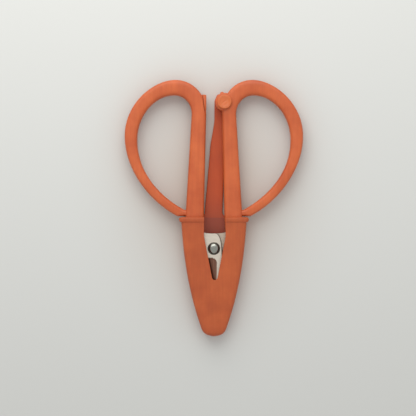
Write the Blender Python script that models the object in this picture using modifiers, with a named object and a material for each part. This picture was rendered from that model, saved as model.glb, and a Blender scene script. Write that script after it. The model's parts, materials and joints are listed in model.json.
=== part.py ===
"""Small fabric shears in a push-on sheath, lying flat on their back.

The shears lie with the finger loops towards +Y and the sheath's tip towards -Y, and +Z points up
from the surface they lie on. The origin is on that surface, under the middle of the whole object.
Each half is a steel blade with a tang that its handle is moulded round. The two halves turn on one
rivet. The sheath slides off towards -Y, and its strap then leaves the button on the right handle.
"""

import math

import bmesh
import bpy
from mathutils import Matrix, Vector

MM = 0.001

# Thicknesses
BLADE_THICKNESS = 1.15 * MM
BLADE_GAP = 0.3 * MM            # daylight between the two blades
HANDLE_THICKNESS = 5.2 * MM
STRAP_THICKNESS = 1.1 * MM

# Pivot
PIVOT_Y = -15.8 * MM
RIVET_SHANK_RADIUS = 1.45 * MM
RIVET_CLEARANCE = 0.1 * MM      # shank to the hole in each blade
RIVET_SEAT = 0.1 * MM           # under each head
RIVET_HEAD_RADIUS = 2.45 * MM
RIVET_HEAD_HEIGHT = 1.15 * MM
RIVET_TAIL_RADIUS = 2.2 * MM
RIVET_TAIL_HEIGHT = 0.8 * MM

# Blades, measured down from the pivot and across from the centreline
BLADE_LENGTH = 30.3 * MM        # pivot to tip
BLADE_SPINE = 3.4 * MM          # centreline to the widest part of the spine
BLADE_HEEL = 4.6 * MM           # centreline to the start of the cutting edge
BLADE_OVERLAP = 0.5 * MM        # each cutting edge past the centreline at the tip
TIP_HALF_WIDTH = 0.7 * MM
TIP_BLEND = 0.9 * MM            # height over which the spine turns into the tip
EDGE_THICKNESS = 0.25 * MM
GRIND_START = 5.0 * MM          # below the pivot
GRIND_LINE = 1.25 * MM          # top of the ground bevel, past the centreline
CROTCH_RISE = 5.9 * MM          # top edge of the blades above the pivot
CROTCH_TURN = 0.6 * MM          # centreline to where the top edge starts to fall away
TANG_WIDTH = 3.6 * MM
TANG_LENGTH = 28.0 * MM         # above the crotch
TANG_FOOT_RISE = 2.6 * MM       # crotch to where the tang gets straight
TANG_HOLE_RADIUS = 1.2 * MM
TANG_HOLE_DROP = 5.0 * MM       # hole's centre below the tang's top
TANG_CLEARANCE = 0.2 * MM

# Handles
HANDLE_TOP_Y = 50.0 * MM
LOOP_REACH = 34.85 * MM         # centreline to the outside of a finger loop
LOOP_SIDE_Y = 28.0 * MM         # height where a loop is widest
LOOP_CROWN_X = 15.0 * MM        # centreline to a loop's highest point
BAND_TOP = 6.1 * MM
BAND_SIDE = 5.0 * MM
BAND_FOOT = 3.0 * MM
BAR_INSET_TOP = 3.15 * MM       # centreline to a bar's inner side
BAR_INSET_MOUTH = 4.1 * MM
BAR_WIDTH_TOP = 5.55 * MM
BAR_WIDTH_MOUTH = 7.1 * MM
BAR_TOP_Y = 37.0 * MM           # where a bar starts to curve into its loop
SHOULDER_PULL = 8.2 * MM        # fullness of the curve from a bar into its loop
CROWN_PULL = 6.2 * MM
HANDLE_EDGE = 1.05 * MM         # rounding of the handles' edges
BASE_DEPTH = 7.6 * MM           # handle inside the mouth of the sheath
BASE_CORNER = 1.55 * MM
BASE_SLANT = 0.6 * MM           # base narrower at its end than at the mouth
ARM_OVERHANG = 0.7 * MM         # lower arm's corner past the bead
HOLE_SIDE_DROP = 1.5 * MM       # widest point of a finger hole below the widest point outside
HOLE_CROWN_SHIFT = 0.5 * MM
HOLE_PULL = (9.8 * MM, 7.4 * MM, 3.9 * MM, 3.8 * MM)
HOLE_TOE = 0.8 * MM             # rounding between a bar and the lower arm
HOLE_FOOT_INSET = 0.1 * MM
HOLE_BAR_DROP = 0.5 * MM
PAD_HEIGHT = 6.2 * MM
PAD_THICKNESS = 4.2 * MM
PAD_WIDTH = 2.95 * MM
PAD_RISE = 1.0 * MM             # pad's foot above the top of the bar
PAD_PROUD = 0.05 * MM           # past the bar's inner side

# Lug and button at the top of the right handle
BUTTON_X = 4.1 * MM
BUTTON_Y = 41.3 * MM
LUG_RADIUS = 3.55 * MM
LUG_START = math.radians(88.0)
LUG_END = math.radians(232.0)
LUG_NOTCH = (1.4 * MM, 3.85 * MM)       # dip between the lug and the loop, from the button
LUG_NOTCH_PULL = (2.0 * MM, 1.4 * MM)
LUG_CROWN_PULL = 4.2 * MM
LUG_FOOT_DROP = 1.5 * MM        # where the lug has run out into the bar, below the bar's top
BUTTON_RADIUS = 2.75 * MM
BUTTON_HEIGHT = 1.1 * MM
BUTTON_DISH = 0.15 * MM
BUTTON_RIM = 0.6 * MM
BUTTON_SHANK_RADIUS = 1.4 * MM
BUTTON_SHANK_LIFT = 0.2 * MM    # shank's end above the surface
BUTTON_CLEARANCE = 0.3 * MM

# Sheath
MOUTH_Y = -3.5 * MM
SHEATH_HALF_WIDTH = 12.8 * MM   # at the mouth
SHEATH_TIP_HALF_WIDTH = 5.1 * MM
SHEATH_WALL = 1.2 * MM          # sides
SHEATH_FLOOR = 1.1 * MM         # back and front walls
SHEATH_TIP_DEPTH = 3.9 * MM     # from the blades' tips to the end of the sheath
SHEATH_TIP_ROUND = 3.7 * MM     # length of the rounded end
SHEATH_EDGE = 1.7 * MM
SHEATH_FRONT_DROP = 1.4 * MM    # front face lower at the tip than at the mouth
BEAD_PROUD = 0.85 * MM
BEAD_LENGTH = 2.1 * MM
BEAD_ROUND = 0.6 * MM
BEAD_FRONT_PROUD = 0.3 * MM
BEAD_LOW = 1.0 * MM             # bead's lower end above the surface
HOLLOW_EDGE = 0.8 * MM
HOLLOW_OVERRUN = 3.0 * MM
NOTCH_HALF_WIDTH = 4.2 * MM     # at the mouth
NOTCH_STRAIGHT = 7.6 * MM       # from the mouth to where the sides start to close in
NOTCH_LENGTH = 24.5 * MM
NOTCH_SHIFT = 0.35 * MM         # the notch is a little to the right of the middle
NOTCH_END_RADIUS = 1.1 * MM

# Strap
STRAP_WIDTH = 5.6 * MM          # where it bends towards the button
STRAP_BEND_X = 1.3 * MM
STRAP_BEND_Y = 22.5 * MM
STRAP_FOOT_WIDTH = 6.9 * MM     # at the sheath's mouth
STRAP_FOOT_X = -0.1 * MM
STRAP_FLARE = 0.9 * MM          # foot's corners, each side
STRAP_JAW = 2.15 * MM           # width of the hook's jaws
HOOK_ROOT = math.radians(28.0)  # from the right jaw round to where the strap joins the hook
HOOK_ANGLE = math.radians(25.0) # way out of the hook, from +Y towards +X
LONG_JAW = 1.2 * MM             # jaws past the middle of the button
SHORT_JAW = 0.8 * MM

CLEARANCE = 0.4 * MM            # between pieces that slide past each other
FRONT_CLEARANCE = 0.5 * MM      # handles to the sheath's front and back walls
SEAM = 0.3 * MM                 # between pieces of one body that touch
CUT_PAST = 1.0 * MM             # how far a cutting shape runs past what it cuts
WELD = 0.01 * MM                # points closer than this become one
SHARP = math.radians(40.0)      # edges that stay crisp
AXIS_SIZE = 5.0 * MM            # how large an empty is drawn

MID_LEVEL = SHEATH_FLOOR + FRONT_CLEARANCE + HANDLE_THICKNESS / 2.0     # plane where the two blades meet
FRONT_LEVEL = MID_LEVEL + BLADE_GAP / 2.0
REAR_LEVEL = MID_LEVEL - BLADE_GAP / 2.0
HANDLE_FRONT = MID_LEVEL + HANDLE_THICKNESS / 2.0
HANDLE_BACK = MID_LEVEL - HANDLE_THICKNESS / 2.0
BLADE_TIP_Y = PIVOT_Y - BLADE_LENGTH
SHEATH_TIP_Y = BLADE_TIP_Y - SHEATH_TIP_DEPTH
SHEATH_FRONT = HANDLE_FRONT + FRONT_CLEARANCE + SHEATH_FLOOR
CROTCH_Y = PIVOT_Y + CROTCH_RISE

ARC_STEPS = 8
CURVE_STEPS = 12
ROUND_STEPS = 48

BAR_ORANGE = (0.61, 0.14, 0.054, 1.0)
SHEATH_ORANGE = (0.52, 0.12, 0.042, 1.0)
STRAP_ORANGE = (0.44, 0.10, 0.04, 1.0)
STEEL = (0.60, 0.57, 0.53, 1.0)

# Colour, roughness and metallic value of each material
FINISHES = {
    "left_handle_plastic": (BAR_ORANGE, 0.42, 0.0),
    "right_handle_plastic": (BAR_ORANGE, 0.42, 0.0),
    "button_plastic": (BAR_ORANGE, 0.4, 0.0),
    "sheath_plastic": (SHEATH_ORANGE, 0.45, 0.0),
    "strap_plastic": (STRAP_ORANGE, 0.5, 0.0),
    "front_blade_steel": (STEEL, 0.35, 1.0),
    "rear_blade_steel": (STEEL, 0.35, 1.0),
    "rivet_steel": (STEEL, 0.25, 1.0),
}


def clear_scene():
    """Remove what the file opens with."""
    for thing in list(bpy.data.objects):
        bpy.data.objects.remove(thing, do_unlink=True)


def collection(name):
    """Return a new collection linked to the scene."""
    group = bpy.data.collections.new(name)
    bpy.context.scene.collection.children.link(group)
    return group


def material(name):
    """Return the Principled material that FINISHES describes under this name."""
    colour, roughness, metallic = FINISHES[name]
    made = bpy.data.materials.new(name)
    made.use_nodes = True
    shader = made.node_tree.nodes["Principled BSDF"]
    shader.inputs["Base Color"].default_value = colour
    shader.inputs["Roughness"].default_value = roughness
    shader.inputs["Metallic"].default_value = metallic
    return made


def bezier(start, first, second, end, steps=CURVE_STEPS):
    """Points of a cubic curve, without its last one."""
    points = []
    for step in range(steps):
        t = step / steps
        s = 1.0 - t
        points.append(tuple(
            s ** 3 * a + 3 * s * s * t * b + 3 * s * t * t * c + t ** 3 * d
            for a, b, c, d in zip(start, first, second, end)
        ))
    return points


def arc(centre, radius, start, end, steps=ARC_STEPS):
    """Points of an arc between two angles in radians, both ends included."""
    return [
        (centre[0] + radius * math.cos(start + (end - start) * step / steps),
         centre[1] + radius * math.sin(start + (end - start) * step / steps))
        for step in range(steps + 1)
    ]


def rounded(before, corner, after, radius, steps=ARC_STEPS):
    """Points of the fillet that rounds the corner between two straight sides."""
    corner = Vector(corner)
    one = (Vector(before) - corner).normalized()
    two = (Vector(after) - corner).normalized()
    half = one.angle(two) / 2.0
    start = corner + one * (radius / math.tan(half))
    centre = corner + (one + two).normalized() * (radius / math.sin(half))
    spoke = start - centre
    turn = math.pi - 2.0 * half
    if one.cross(two) > 0.0:
        turn = -turn
    points = []
    for step in range(steps + 1):
        point = centre + Matrix.Rotation(turn * step / steps, 2) @ spoke
        points.append((point.x, point.y))
    return points


def offset(points, distance):
    """Move a closed anticlockwise outline outwards by a distance."""
    moved = []
    count = len(points)
    for index in range(count):
        here = Vector(points[index])
        back = (here - Vector(points[index - 1])).normalized()
        ahead = (Vector(points[(index + 1) % count]) - here).normalized()
        normal = Vector((back.y + ahead.y, -back.x - ahead.x)).normalized()
        reach = distance / max(normal.dot(Vector((back.y, -back.x))), 0.5)
        moved.append((here.x + normal.x * reach, here.y + normal.y * reach))
    return moved


def mirrored(points):
    """The same outline on the other side of the centreline."""
    return [(-x, y) for x, y in reversed(points)]


def plate(name, group, outlines, low, high, edge=0.0):
    """A flat piece from its outlines, with its edges rounded, as a mesh object."""
    flat = bpy.data.curves.new(name, "CURVE")
    flat.dimensions = "2D"
    flat.fill_mode = "BOTH"
    flat.extrude = (high - low) / 2.0 - edge
    flat.bevel_depth = edge
    flat.bevel_resolution = 2
    flat.offset = -edge
    for outline in outlines:
        spline = flat.splines.new("POLY")
        spline.points.add(len(outline) - 1)
        spline.use_cyclic_u = True
        for point, (x, y) in zip(spline.points, outline):
            point.co = (x, y, 0.0, 1.0)
    guide = bpy.data.objects.new(name + "_outline", flat)
    guide.location.z = (low + high) / 2.0
    group.objects.link(guide)
    bpy.context.view_layer.update()
    evaluated = guide.evaluated_get(bpy.context.evaluated_depsgraph_get())
    mesh = bpy.data.meshes.new_from_object(evaluated)
    mesh.name = name
    mesh.transform(guide.matrix_world)
    bpy.data.objects.remove(guide, do_unlink=True)
    shape = bmesh.new()
    shape.from_mesh(mesh)
    bmesh.ops.remove_doubles(shape, verts=shape.verts, dist=WELD)
    bmesh.ops.recalc_face_normals(shape, faces=shape.faces)
    shape.to_mesh(mesh)
    shape.free()
    piece = bpy.data.objects.new(name, mesh)
    group.objects.link(piece)
    return piece


def round_bar(name, group, centre, radius, low, high):
    """An upright cylinder between two levels."""
    mesh = bpy.data.meshes.new(name)
    shape = bmesh.new()
    bmesh.ops.create_cone(
        shape, cap_ends=True, segments=ROUND_STEPS, radius1=radius, radius2=radius, depth=high - low,
        matrix=Matrix.Translation((centre[0], centre[1], (low + high) / 2.0)),
    )
    shape.to_mesh(mesh)
    shape.free()
    piece = bpy.data.objects.new(name, mesh)
    group.objects.link(piece)
    return piece


def block(name, group, low, high):
    """A box between two corners."""
    mesh = bpy.data.meshes.new(name)
    shape = bmesh.new()
    size = Matrix.Diagonal((*(b - a for a, b in zip(low, high)), 1.0))
    middle = Matrix.Translation([(a + b) / 2.0 for a, b in zip(low, high)])
    bmesh.ops.create_cube(shape, size=1.0, matrix=middle @ size)
    shape.to_mesh(mesh)
    shape.free()
    piece = bpy.data.objects.new(name, mesh)
    group.objects.link(piece)
    return piece


def turned(name, group, centre, profile):
    """A round piece from its profile of (radius, level) pairs, listed from the top down."""
    mesh = bpy.data.meshes.new(name)
    rows = [Vector((radius, 0.0, level)) for radius, level in profile]
    mesh.from_pydata(rows, [(index, index + 1) for index in range(len(rows) - 1)], [])
    piece = bpy.data.objects.new(name, mesh)
    piece.location = (centre[0], centre[1], 0.0)
    group.objects.link(piece)
    screw = piece.modifiers.new("turn", "SCREW")
    screw.steps = ROUND_STEPS
    screw.render_steps = ROUND_STEPS
    screw.use_merge_vertices = True
    screw.merge_threshold = WELD
    return piece


def combine(piece, other, operation):
    """Cut another solid away from a piece, or join it on."""
    step = piece.modifiers.new(other.name, "BOOLEAN")
    step.operation = operation
    step.solver = "EXACT"
    step.object = other
    other.hide_render = True
    other.display_type = "WIRE"


def taper_front(piece):
    """Lower the front of a sheath solid steadily from its mouth to its tip."""
    for vertex in piece.data.vertices:
        share = (MOUTH_Y - vertex.co.y) / (MOUTH_Y - SHEATH_TIP_Y)
        vertex.co.z *= 1.0 - share * SHEATH_FRONT_DROP / SHEATH_FRONT


def finish(piece, dress):
    """Give a piece its material and smooth shading with sharp edges kept."""
    piece.data.materials.append(dress)
    piece.data.shade_smooth()
    piece.data.set_sharp_from_angle(angle=SHARP)


def hang(piece, axis):
    """Parent a piece to the empty on its joint's axis, without moving the piece."""
    piece.location -= axis.location
    piece.parent = axis


def joint_axis(name, group, place):
    """An empty on a joint's axis."""
    axis = bpy.data.objects.new(name, None)
    axis.location = place
    axis.empty_display_size = AXIS_SIZE
    group.objects.link(axis)
    bpy.context.view_layer.update()
    return axis


# --- blades ---------------------------------------------------------------------------------

def bar_centre(height):
    """Distance from the centreline to the middle of a bar at a height."""
    share = (height - MOUTH_Y) / (BAR_TOP_Y - MOUTH_Y)
    low = BAR_INSET_MOUTH + BAR_WIDTH_MOUTH / 2.0
    high = BAR_INSET_TOP + BAR_WIDTH_TOP / 2.0
    return low + (high - low) * share


def blade_outline():
    """Outline of the blade whose tang is on the left, anticlockwise from the tang's top right."""
    tang_top = CROTCH_Y + TANG_LENGTH
    tang_foot = CROTCH_Y + TANG_FOOT_RISE
    half = TANG_WIDTH / 2.0
    top_x = -bar_centre(tang_top)
    foot_x = -bar_centre(tang_foot)
    heel_y = PIVOT_Y - GRIND_START
    shoulder_x = foot_x - half
    points = [(top_x + half, tang_top), (top_x - half, tang_top)]
    points += bezier(
        (shoulder_x, tang_foot), (shoulder_x, CROTCH_Y - 0.25 * CROTCH_RISE),
        (-BLADE_HEEL, PIVOT_Y + 0.2 * GRIND_START), (-BLADE_HEEL, heel_y),
    )
    points += [(-BLADE_HEEL, heel_y)]
    points += [(-1.2 * BLADE_OVERLAP, BLADE_TIP_Y + TIP_HALF_WIDTH)]
    points += bezier(
        (-BLADE_OVERLAP, BLADE_TIP_Y + 0.3 * TIP_HALF_WIDTH), (-0.6 * BLADE_OVERLAP, BLADE_TIP_Y),
        (0.6 * TIP_HALF_WIDTH, BLADE_TIP_Y), (TIP_HALF_WIDTH, BLADE_TIP_Y + TIP_BLEND), 4,
    )
    points += bezier(
        (TIP_HALF_WIDTH, BLADE_TIP_Y + TIP_BLEND), (0.75 * BLADE_SPINE, BLADE_TIP_Y + 0.35 * BLADE_LENGTH),
        (BLADE_SPINE, BLADE_TIP_Y + 0.6 * BLADE_LENGTH), (BLADE_SPINE, PIVOT_Y - 0.2 * BLADE_LENGTH),
    )
    points += bezier(
        (BLADE_SPINE, PIVOT_Y - 0.2 * BLADE_LENGTH), (BLADE_SPINE, PIVOT_Y + 0.6 * CROTCH_RISE),
        (0.7 * BLADE_SPINE, CROTCH_Y), (CROTCH_TURN, CROTCH_Y),
    )
    points += bezier(
        (CROTCH_TURN, CROTCH_Y), (-TANG_FOOT_RISE, CROTCH_Y),
        (foot_x + half, CROTCH_Y), (foot_x + half, tang_foot),
    )
    points += [(foot_x + half, tang_foot)]
    return points


def tang_hole(grow):
    """Hole near the top of the left-hand tang, with its radius changed by a given amount."""
    height = CROTCH_Y + TANG_LENGTH - TANG_HOLE_DROP
    circle = arc((-bar_centre(height), height), TANG_HOLE_RADIUS + grow, 0.0, 2.0 * math.pi, 24)
    return circle[:-1]


def grind_cutter(name, group, side, outer, inner):
    """Slanted block whose face is the ground bevel of a blade."""
    ridge_top = Vector((side * GRIND_LINE, PIVOT_Y - GRIND_START, outer))
    ridge_end = Vector((side * 0.9 * TIP_HALF_WIDTH, BLADE_TIP_Y, outer))
    rise = math.copysign(EDGE_THICKNESS, outer - inner)
    heel = Vector((-side * BLADE_HEEL, PIVOT_Y - GRIND_START, inner + rise))
    along = (ridge_end - ridge_top).normalized()
    up = along.cross(heel - ridge_top).normalized()
    if up.z * (outer - inner) < 0.0:
        up = -up
    across = up.cross(along).normalized()
    if across.x * side > 0.0:
        across = -across
    turn = Matrix((across, along, across.cross(along))).transposed().to_4x4()
    length = 1.5 * BLADE_LENGTH
    width = 4.0 * BLADE_HEEL
    depth = BLADE_THICKNESS + 2.0 * CUT_PAST
    centre = ridge_top + along * (length / 2.0) + across * (width / 2.0) + up * (depth / 2.0)
    mesh = bpy.data.meshes.new(name)
    shape = bmesh.new()
    size = Matrix.Diagonal((width, length, depth, 1.0))
    bmesh.ops.create_cube(shape, size=1.0, matrix=Matrix.Translation(centre) @ turn @ size)
    shape.to_mesh(mesh)
    shape.free()
    piece = bpy.data.objects.new(name, mesh)
    group.objects.link(piece)
    return piece


def make_blade(name, side, parts, cutters, steel):
    """A blade, its tang to the left where side is 1 and to the right where side is -1."""
    outline = blade_outline()
    hole = tang_hole(0.0)
    if side < 0:
        outline = mirrored(outline)
        hole = mirrored(hole)
    if side > 0:
        low = FRONT_LEVEL
        outer = FRONT_LEVEL + BLADE_THICKNESS
        inner = low
    else:
        low = REAR_LEVEL - BLADE_THICKNESS
        outer = low
        inner = REAR_LEVEL
    blade = plate(name, parts, [outline, hole], low, low + BLADE_THICKNESS)
    bore = round_bar(
        name + "_bore", cutters, (0.0, PIVOT_Y), RIVET_SHANK_RADIUS + RIVET_CLEARANCE,
        low - CUT_PAST, low + BLADE_THICKNESS + CUT_PAST,
    )
    combine(blade, bore, "DIFFERENCE")
    combine(blade, grind_cutter(name + "_grind", cutters, side, outer, inner), "DIFFERENCE")
    finish(blade, steel)
    return blade


# --- handles --------------------------------------------------------------------------------

def sheath_half_width(height):
    """Outer half width of the sheath at a height between its mouth and its rounded end."""
    curve = bezier(*sheath_side(), 60) + [sheath_side()[3]]
    for (x0, y0), (x1, y1) in zip(curve, curve[1:]):
        if y1 <= height <= y0:
            return x0 + (x1 - x0) * (height - y0) / (y1 - y0)
    return curve[0][0]


def sheath_side():
    """The four control points of the sheath's right side, from the mouth down."""
    end_y = SHEATH_TIP_Y + SHEATH_TIP_ROUND
    length = MOUTH_Y - end_y
    spread = SHEATH_HALF_WIDTH - SHEATH_TIP_HALF_WIDTH
    return (
        (SHEATH_HALF_WIDTH, MOUTH_Y),
        (SHEATH_HALF_WIDTH - 0.1 * spread, MOUTH_Y - 0.34 * length),
        (SHEATH_HALF_WIDTH - 0.33 * spread, MOUTH_Y - 0.65 * length),
        (SHEATH_TIP_HALF_WIDTH, end_y),
    )


def handle_outline(lug):
    """Outline of the right-hand handle, anticlockwise from the foot of its inner side."""
    base_y = MOUTH_Y - BASE_DEPTH
    base_in = BAR_INSET_MOUTH + BASE_SLANT
    room = SHEATH_WALL + CLEARANCE
    base_out = sheath_half_width(base_y) - room
    mouth_out = sheath_half_width(MOUTH_Y) - room
    seat_y = MOUTH_Y + SEAM
    foot = (SHEATH_HALF_WIDTH + BEAD_PROUD + ARM_OVERHANG, seat_y)
    crown = (LOOP_CROWN_X, HANDLE_TOP_Y)
    side = (LOOP_REACH, LOOP_SIDE_Y)
    span = LOOP_REACH - LOOP_CROWN_X
    points = rounded((base_in, 0.0), (base_in, base_y), (base_out, base_y), BASE_CORNER)
    points += rounded((base_in, base_y), (base_out, base_y), (mouth_out, MOUTH_Y), BASE_CORNER)
    points += [(mouth_out, seat_y)]
    rise = LOOP_SIDE_Y - seat_y
    points += bezier(
        foot, (foot[0] + 0.6 * span, foot[1] + 0.205 * rise), (LOOP_REACH, LOOP_SIDE_Y - 0.39 * rise), side,
    )
    above = (LOOP_REACH, side[1] + 0.59 * (crown[1] - side[1]))
    points += bezier(side, above, (crown[0] + 0.43 * span, crown[1]), crown)
    if lug:
        notch = (BUTTON_X + LUG_NOTCH[0], BUTTON_Y + LUG_NOTCH[1])
        rim = (notch[0] + LUG_NOTCH_PULL[0], notch[1] + LUG_NOTCH_PULL[1])
        points += bezier(crown, (crown[0] - LUG_CROWN_PULL, crown[1]), rim, notch)
        points += arc((BUTTON_X, BUTTON_Y), LUG_RADIUS, LUG_START, LUG_END, 16)
    else:
        shoulder = (BAR_INSET_TOP, BAR_TOP_Y)
        rise_to = (shoulder[0], shoulder[1] + SHOULDER_PULL)
        points += bezier(crown, (crown[0] - CROWN_PULL, crown[1]), rise_to, shoulder)
    points += [(BAR_INSET_TOP, BAR_TOP_Y - LUG_FOOT_DROP)]
    points += [(BAR_INSET_MOUTH, MOUTH_Y)]
    return points


def loop_hole():
    """Outline of the finger hole in the right-hand handle."""
    bar_top = BAR_INSET_TOP + BAR_WIDTH_TOP
    bar_foot = BAR_INSET_MOUTH + BAR_WIDTH_MOUTH
    top_y = HANDLE_TOP_Y - BAND_TOP
    reach = LOOP_REACH - BAND_SIDE
    crown = (LOOP_CROWN_X + HOLE_CROWN_SHIFT, top_y)
    side = (reach, LOOP_SIDE_Y - HOLE_SIDE_DROP)
    corner = (bar_foot - HOLE_FOOT_INSET, MOUTH_Y + BAND_FOOT - SEAM)
    start = (bar_top, BAR_TOP_Y - HOLE_BAR_DROP)
    rise = side[1] - corner[1]
    lean = (corner[0] + 0.57 * (reach - corner[0]), corner[1] + 0.21 * rise)
    toe = rounded((bar_top, BAR_TOP_Y), corner, lean, HOLE_TOE)
    side_pull, outer_pull, inner_pull, bar_pull = HOLE_PULL
    points = [start]
    points += toe
    points += bezier(toe[-1], lean, (reach, side[1] - 0.44 * rise), side)[1:]
    points += bezier(side, (reach, side[1] + side_pull), (crown[0] + outer_pull, top_y), crown)
    points += bezier(crown, (crown[0] - inner_pull, top_y), (bar_top, BAR_TOP_Y + bar_pull), start)
    return points


def make_handle(name, side, parts, cutters, orange):
    """A handle, on the right where side is 1 and on the left where side is -1."""
    outline = handle_outline(side > 0)
    hole = loop_hole()
    tang = offset(blade_outline(), TANG_CLEARANCE)
    peg = tang_hole(-TANG_CLEARANCE)
    tang_low = FRONT_LEVEL - TANG_CLEARANCE
    if side > 0:
        tang = mirrored(tang)
        peg = mirrored(peg)
        tang_low = REAR_LEVEL - BLADE_THICKNESS - TANG_CLEARANCE
    else:
        outline = mirrored(outline)
        hole = mirrored(hole)
    handle = plate(name, parts, [outline, hole], HANDLE_BACK, HANDLE_FRONT, HANDLE_EDGE)
    tang_high = tang_low + BLADE_THICKNESS + 2.0 * TANG_CLEARANCE
    slot = plate(name + "_tang_slot", cutters, [tang, peg], tang_low, tang_high)
    combine(handle, slot, "DIFFERENCE")
    if side > 0:
        bore = round_bar(
            name + "_button_bore", cutters, (BUTTON_X, BUTTON_Y), BUTTON_SHANK_RADIUS + BUTTON_CLEARANCE,
            HANDLE_BACK - CUT_PAST, HANDLE_FRONT + CUT_PAST,
        )
        combine(handle, bore, "DIFFERENCE")
    else:
        inner = -BAR_INSET_TOP + PAD_PROUD
        foot = BAR_TOP_Y + PAD_RISE
        half = PAD_THICKNESS / 2.0
        pad = block(
            name + "_pad", cutters, (inner - PAD_WIDTH, foot, MID_LEVEL - half),
            (inner, foot + PAD_HEIGHT, MID_LEVEL + half),
        )
        combine(handle, pad, "UNION")
    finish(handle, orange)
    return handle


def make_button(parts, orange):
    """The headed stud pushed into the lug, its shank standing out behind for the hook."""
    under = HANDLE_FRONT + SEAM
    crest = under + BUTTON_HEIGHT
    profile = [
        (0.0, crest - BUTTON_DISH),
        (BUTTON_RADIUS - 1.5 * BUTTON_RIM, crest - BUTTON_DISH),
        (BUTTON_RADIUS - BUTTON_RIM, crest),
        (BUTTON_RADIUS - 0.5 * BUTTON_RIM, crest),
        (BUTTON_RADIUS, crest - 0.5 * BUTTON_RIM),
        (BUTTON_RADIUS, under),
        (BUTTON_SHANK_RADIUS, under),
        (BUTTON_SHANK_RADIUS, 2.0 * BUTTON_SHANK_LIFT),
        (BUTTON_SHANK_RADIUS - BUTTON_SHANK_LIFT, BUTTON_SHANK_LIFT),
        (0.0, BUTTON_SHANK_LIFT),
    ]
    button = turned("strap_button", parts, (BUTTON_X, BUTTON_Y), profile)
    finish(button, orange)
    return button


def make_rivet(parts, steel):
    """The pivot rivet, domed in front and peened behind."""
    seat = FRONT_LEVEL + BLADE_THICKNESS + RIVET_SEAT
    back = REAR_LEVEL - BLADE_THICKNESS - RIVET_SEAT
    profile = []
    for step in range(ARC_STEPS):
        angle = math.pi / 2.0 * step / ARC_STEPS
        profile.append((RIVET_HEAD_RADIUS * math.sin(angle), seat + RIVET_HEAD_HEIGHT * math.cos(angle)))
    profile += [(RIVET_HEAD_RADIUS, seat), (RIVET_SHANK_RADIUS, seat), (RIVET_SHANK_RADIUS, back)]
    for step in range(ARC_STEPS + 1):
        angle = math.pi / 2.0 * step / ARC_STEPS
        profile.append((RIVET_TAIL_RADIUS * math.cos(angle), back - RIVET_TAIL_HEIGHT * math.sin(angle)))
    rivet = turned("pivot_rivet", parts, (0.0, PIVOT_Y), profile)
    finish(rivet, steel)
    return rivet


# --- sheath ---------------------------------------------------------------------------------

def sheath_outline(wall, overrun):
    """Closed outline of the sheath, moved in by a wall and run on past the mouth."""
    side = bezier(*sheath_side())
    start = (SHEATH_TIP_HALF_WIDTH, SHEATH_TIP_Y + SHEATH_TIP_ROUND)
    end = bezier(
        start, (start[0] - 0.12 * SHEATH_TIP_HALF_WIDTH, start[1] - 0.66 * SHEATH_TIP_ROUND),
        (0.56 * SHEATH_TIP_HALF_WIDTH, SHEATH_TIP_Y), (0.0, SHEATH_TIP_Y), 8,
    )
    right = list(reversed(side + end))
    left = [(-x, y) for x, y in side + end]
    inner = offset([(0.0, SHEATH_TIP_Y)] + right + left, -wall)
    corner = len(right)
    mouth = [(x, MOUTH_Y + overrun) for x, y in inner[corner:corner + 2]]
    return inner[:corner + 1] + (mouth if overrun else []) + inner[corner + 1:]


def notch_outline():
    """The notch in the sheath's front wall, open at the mouth and round at its end."""
    end_y = MOUTH_Y - NOTCH_LENGTH + NOTCH_END_RADIUS
    top = MOUTH_Y + CUT_PAST
    slope = math.atan2(NOTCH_HALF_WIDTH - NOTCH_END_RADIUS, MOUTH_Y - NOTCH_STRAIGHT - end_y)
    points = [(NOTCH_SHIFT + NOTCH_HALF_WIDTH, top), (NOTCH_SHIFT - NOTCH_HALF_WIDTH, top)]
    points += [(NOTCH_SHIFT - NOTCH_HALF_WIDTH, MOUTH_Y - NOTCH_STRAIGHT)]
    points += arc((NOTCH_SHIFT, end_y), NOTCH_END_RADIUS, math.pi + slope, 2.0 * math.pi - slope)
    points += [(NOTCH_SHIFT + NOTCH_HALF_WIDTH, MOUTH_Y - NOTCH_STRAIGHT)]
    return points


def make_sheath(parts, cutters, orange):
    """The hollow sheath with its bead and notch, flat along its back."""
    sheath = plate("sheath", parts, [sheath_outline(0.0, 0.0)], 0.0, SHEATH_FRONT, SHEATH_EDGE)
    taper_front(sheath)
    width = SHEATH_HALF_WIDTH + BEAD_PROUD
    bead = block(
        "sheath_bead", cutters, (-width, MOUTH_Y - BEAD_LENGTH, BEAD_LOW),
        (width, MOUTH_Y, SHEATH_FRONT + BEAD_FRONT_PROUD),
    )
    soften = bead.modifiers.new("rounding", "BEVEL")
    soften.width = BEAD_ROUND
    soften.segments = 2
    combine(sheath, bead, "UNION")
    hollow = plate(
        "sheath_hollow", cutters, [sheath_outline(SHEATH_WALL, HOLLOW_OVERRUN)],
        SHEATH_FLOOR, SHEATH_FRONT - SHEATH_FLOOR, HOLLOW_EDGE,
    )
    for vertex in hollow.data.vertices:
        share = (MOUTH_Y - vertex.co.y) / (MOUTH_Y - SHEATH_TIP_Y)
        lift = (vertex.co.z - SHEATH_FLOOR) / (SHEATH_FRONT - 2.0 * SHEATH_FLOOR)
        vertex.co.z -= lift * share * SHEATH_FRONT_DROP
    combine(sheath, hollow, "DIFFERENCE")
    notch = plate("sheath_notch", cutters, [notch_outline()], MID_LEVEL, SHEATH_FRONT + CUT_PAST)
    combine(sheath, notch, "DIFFERENCE")
    finish(sheath, orange)
    return sheath


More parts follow.
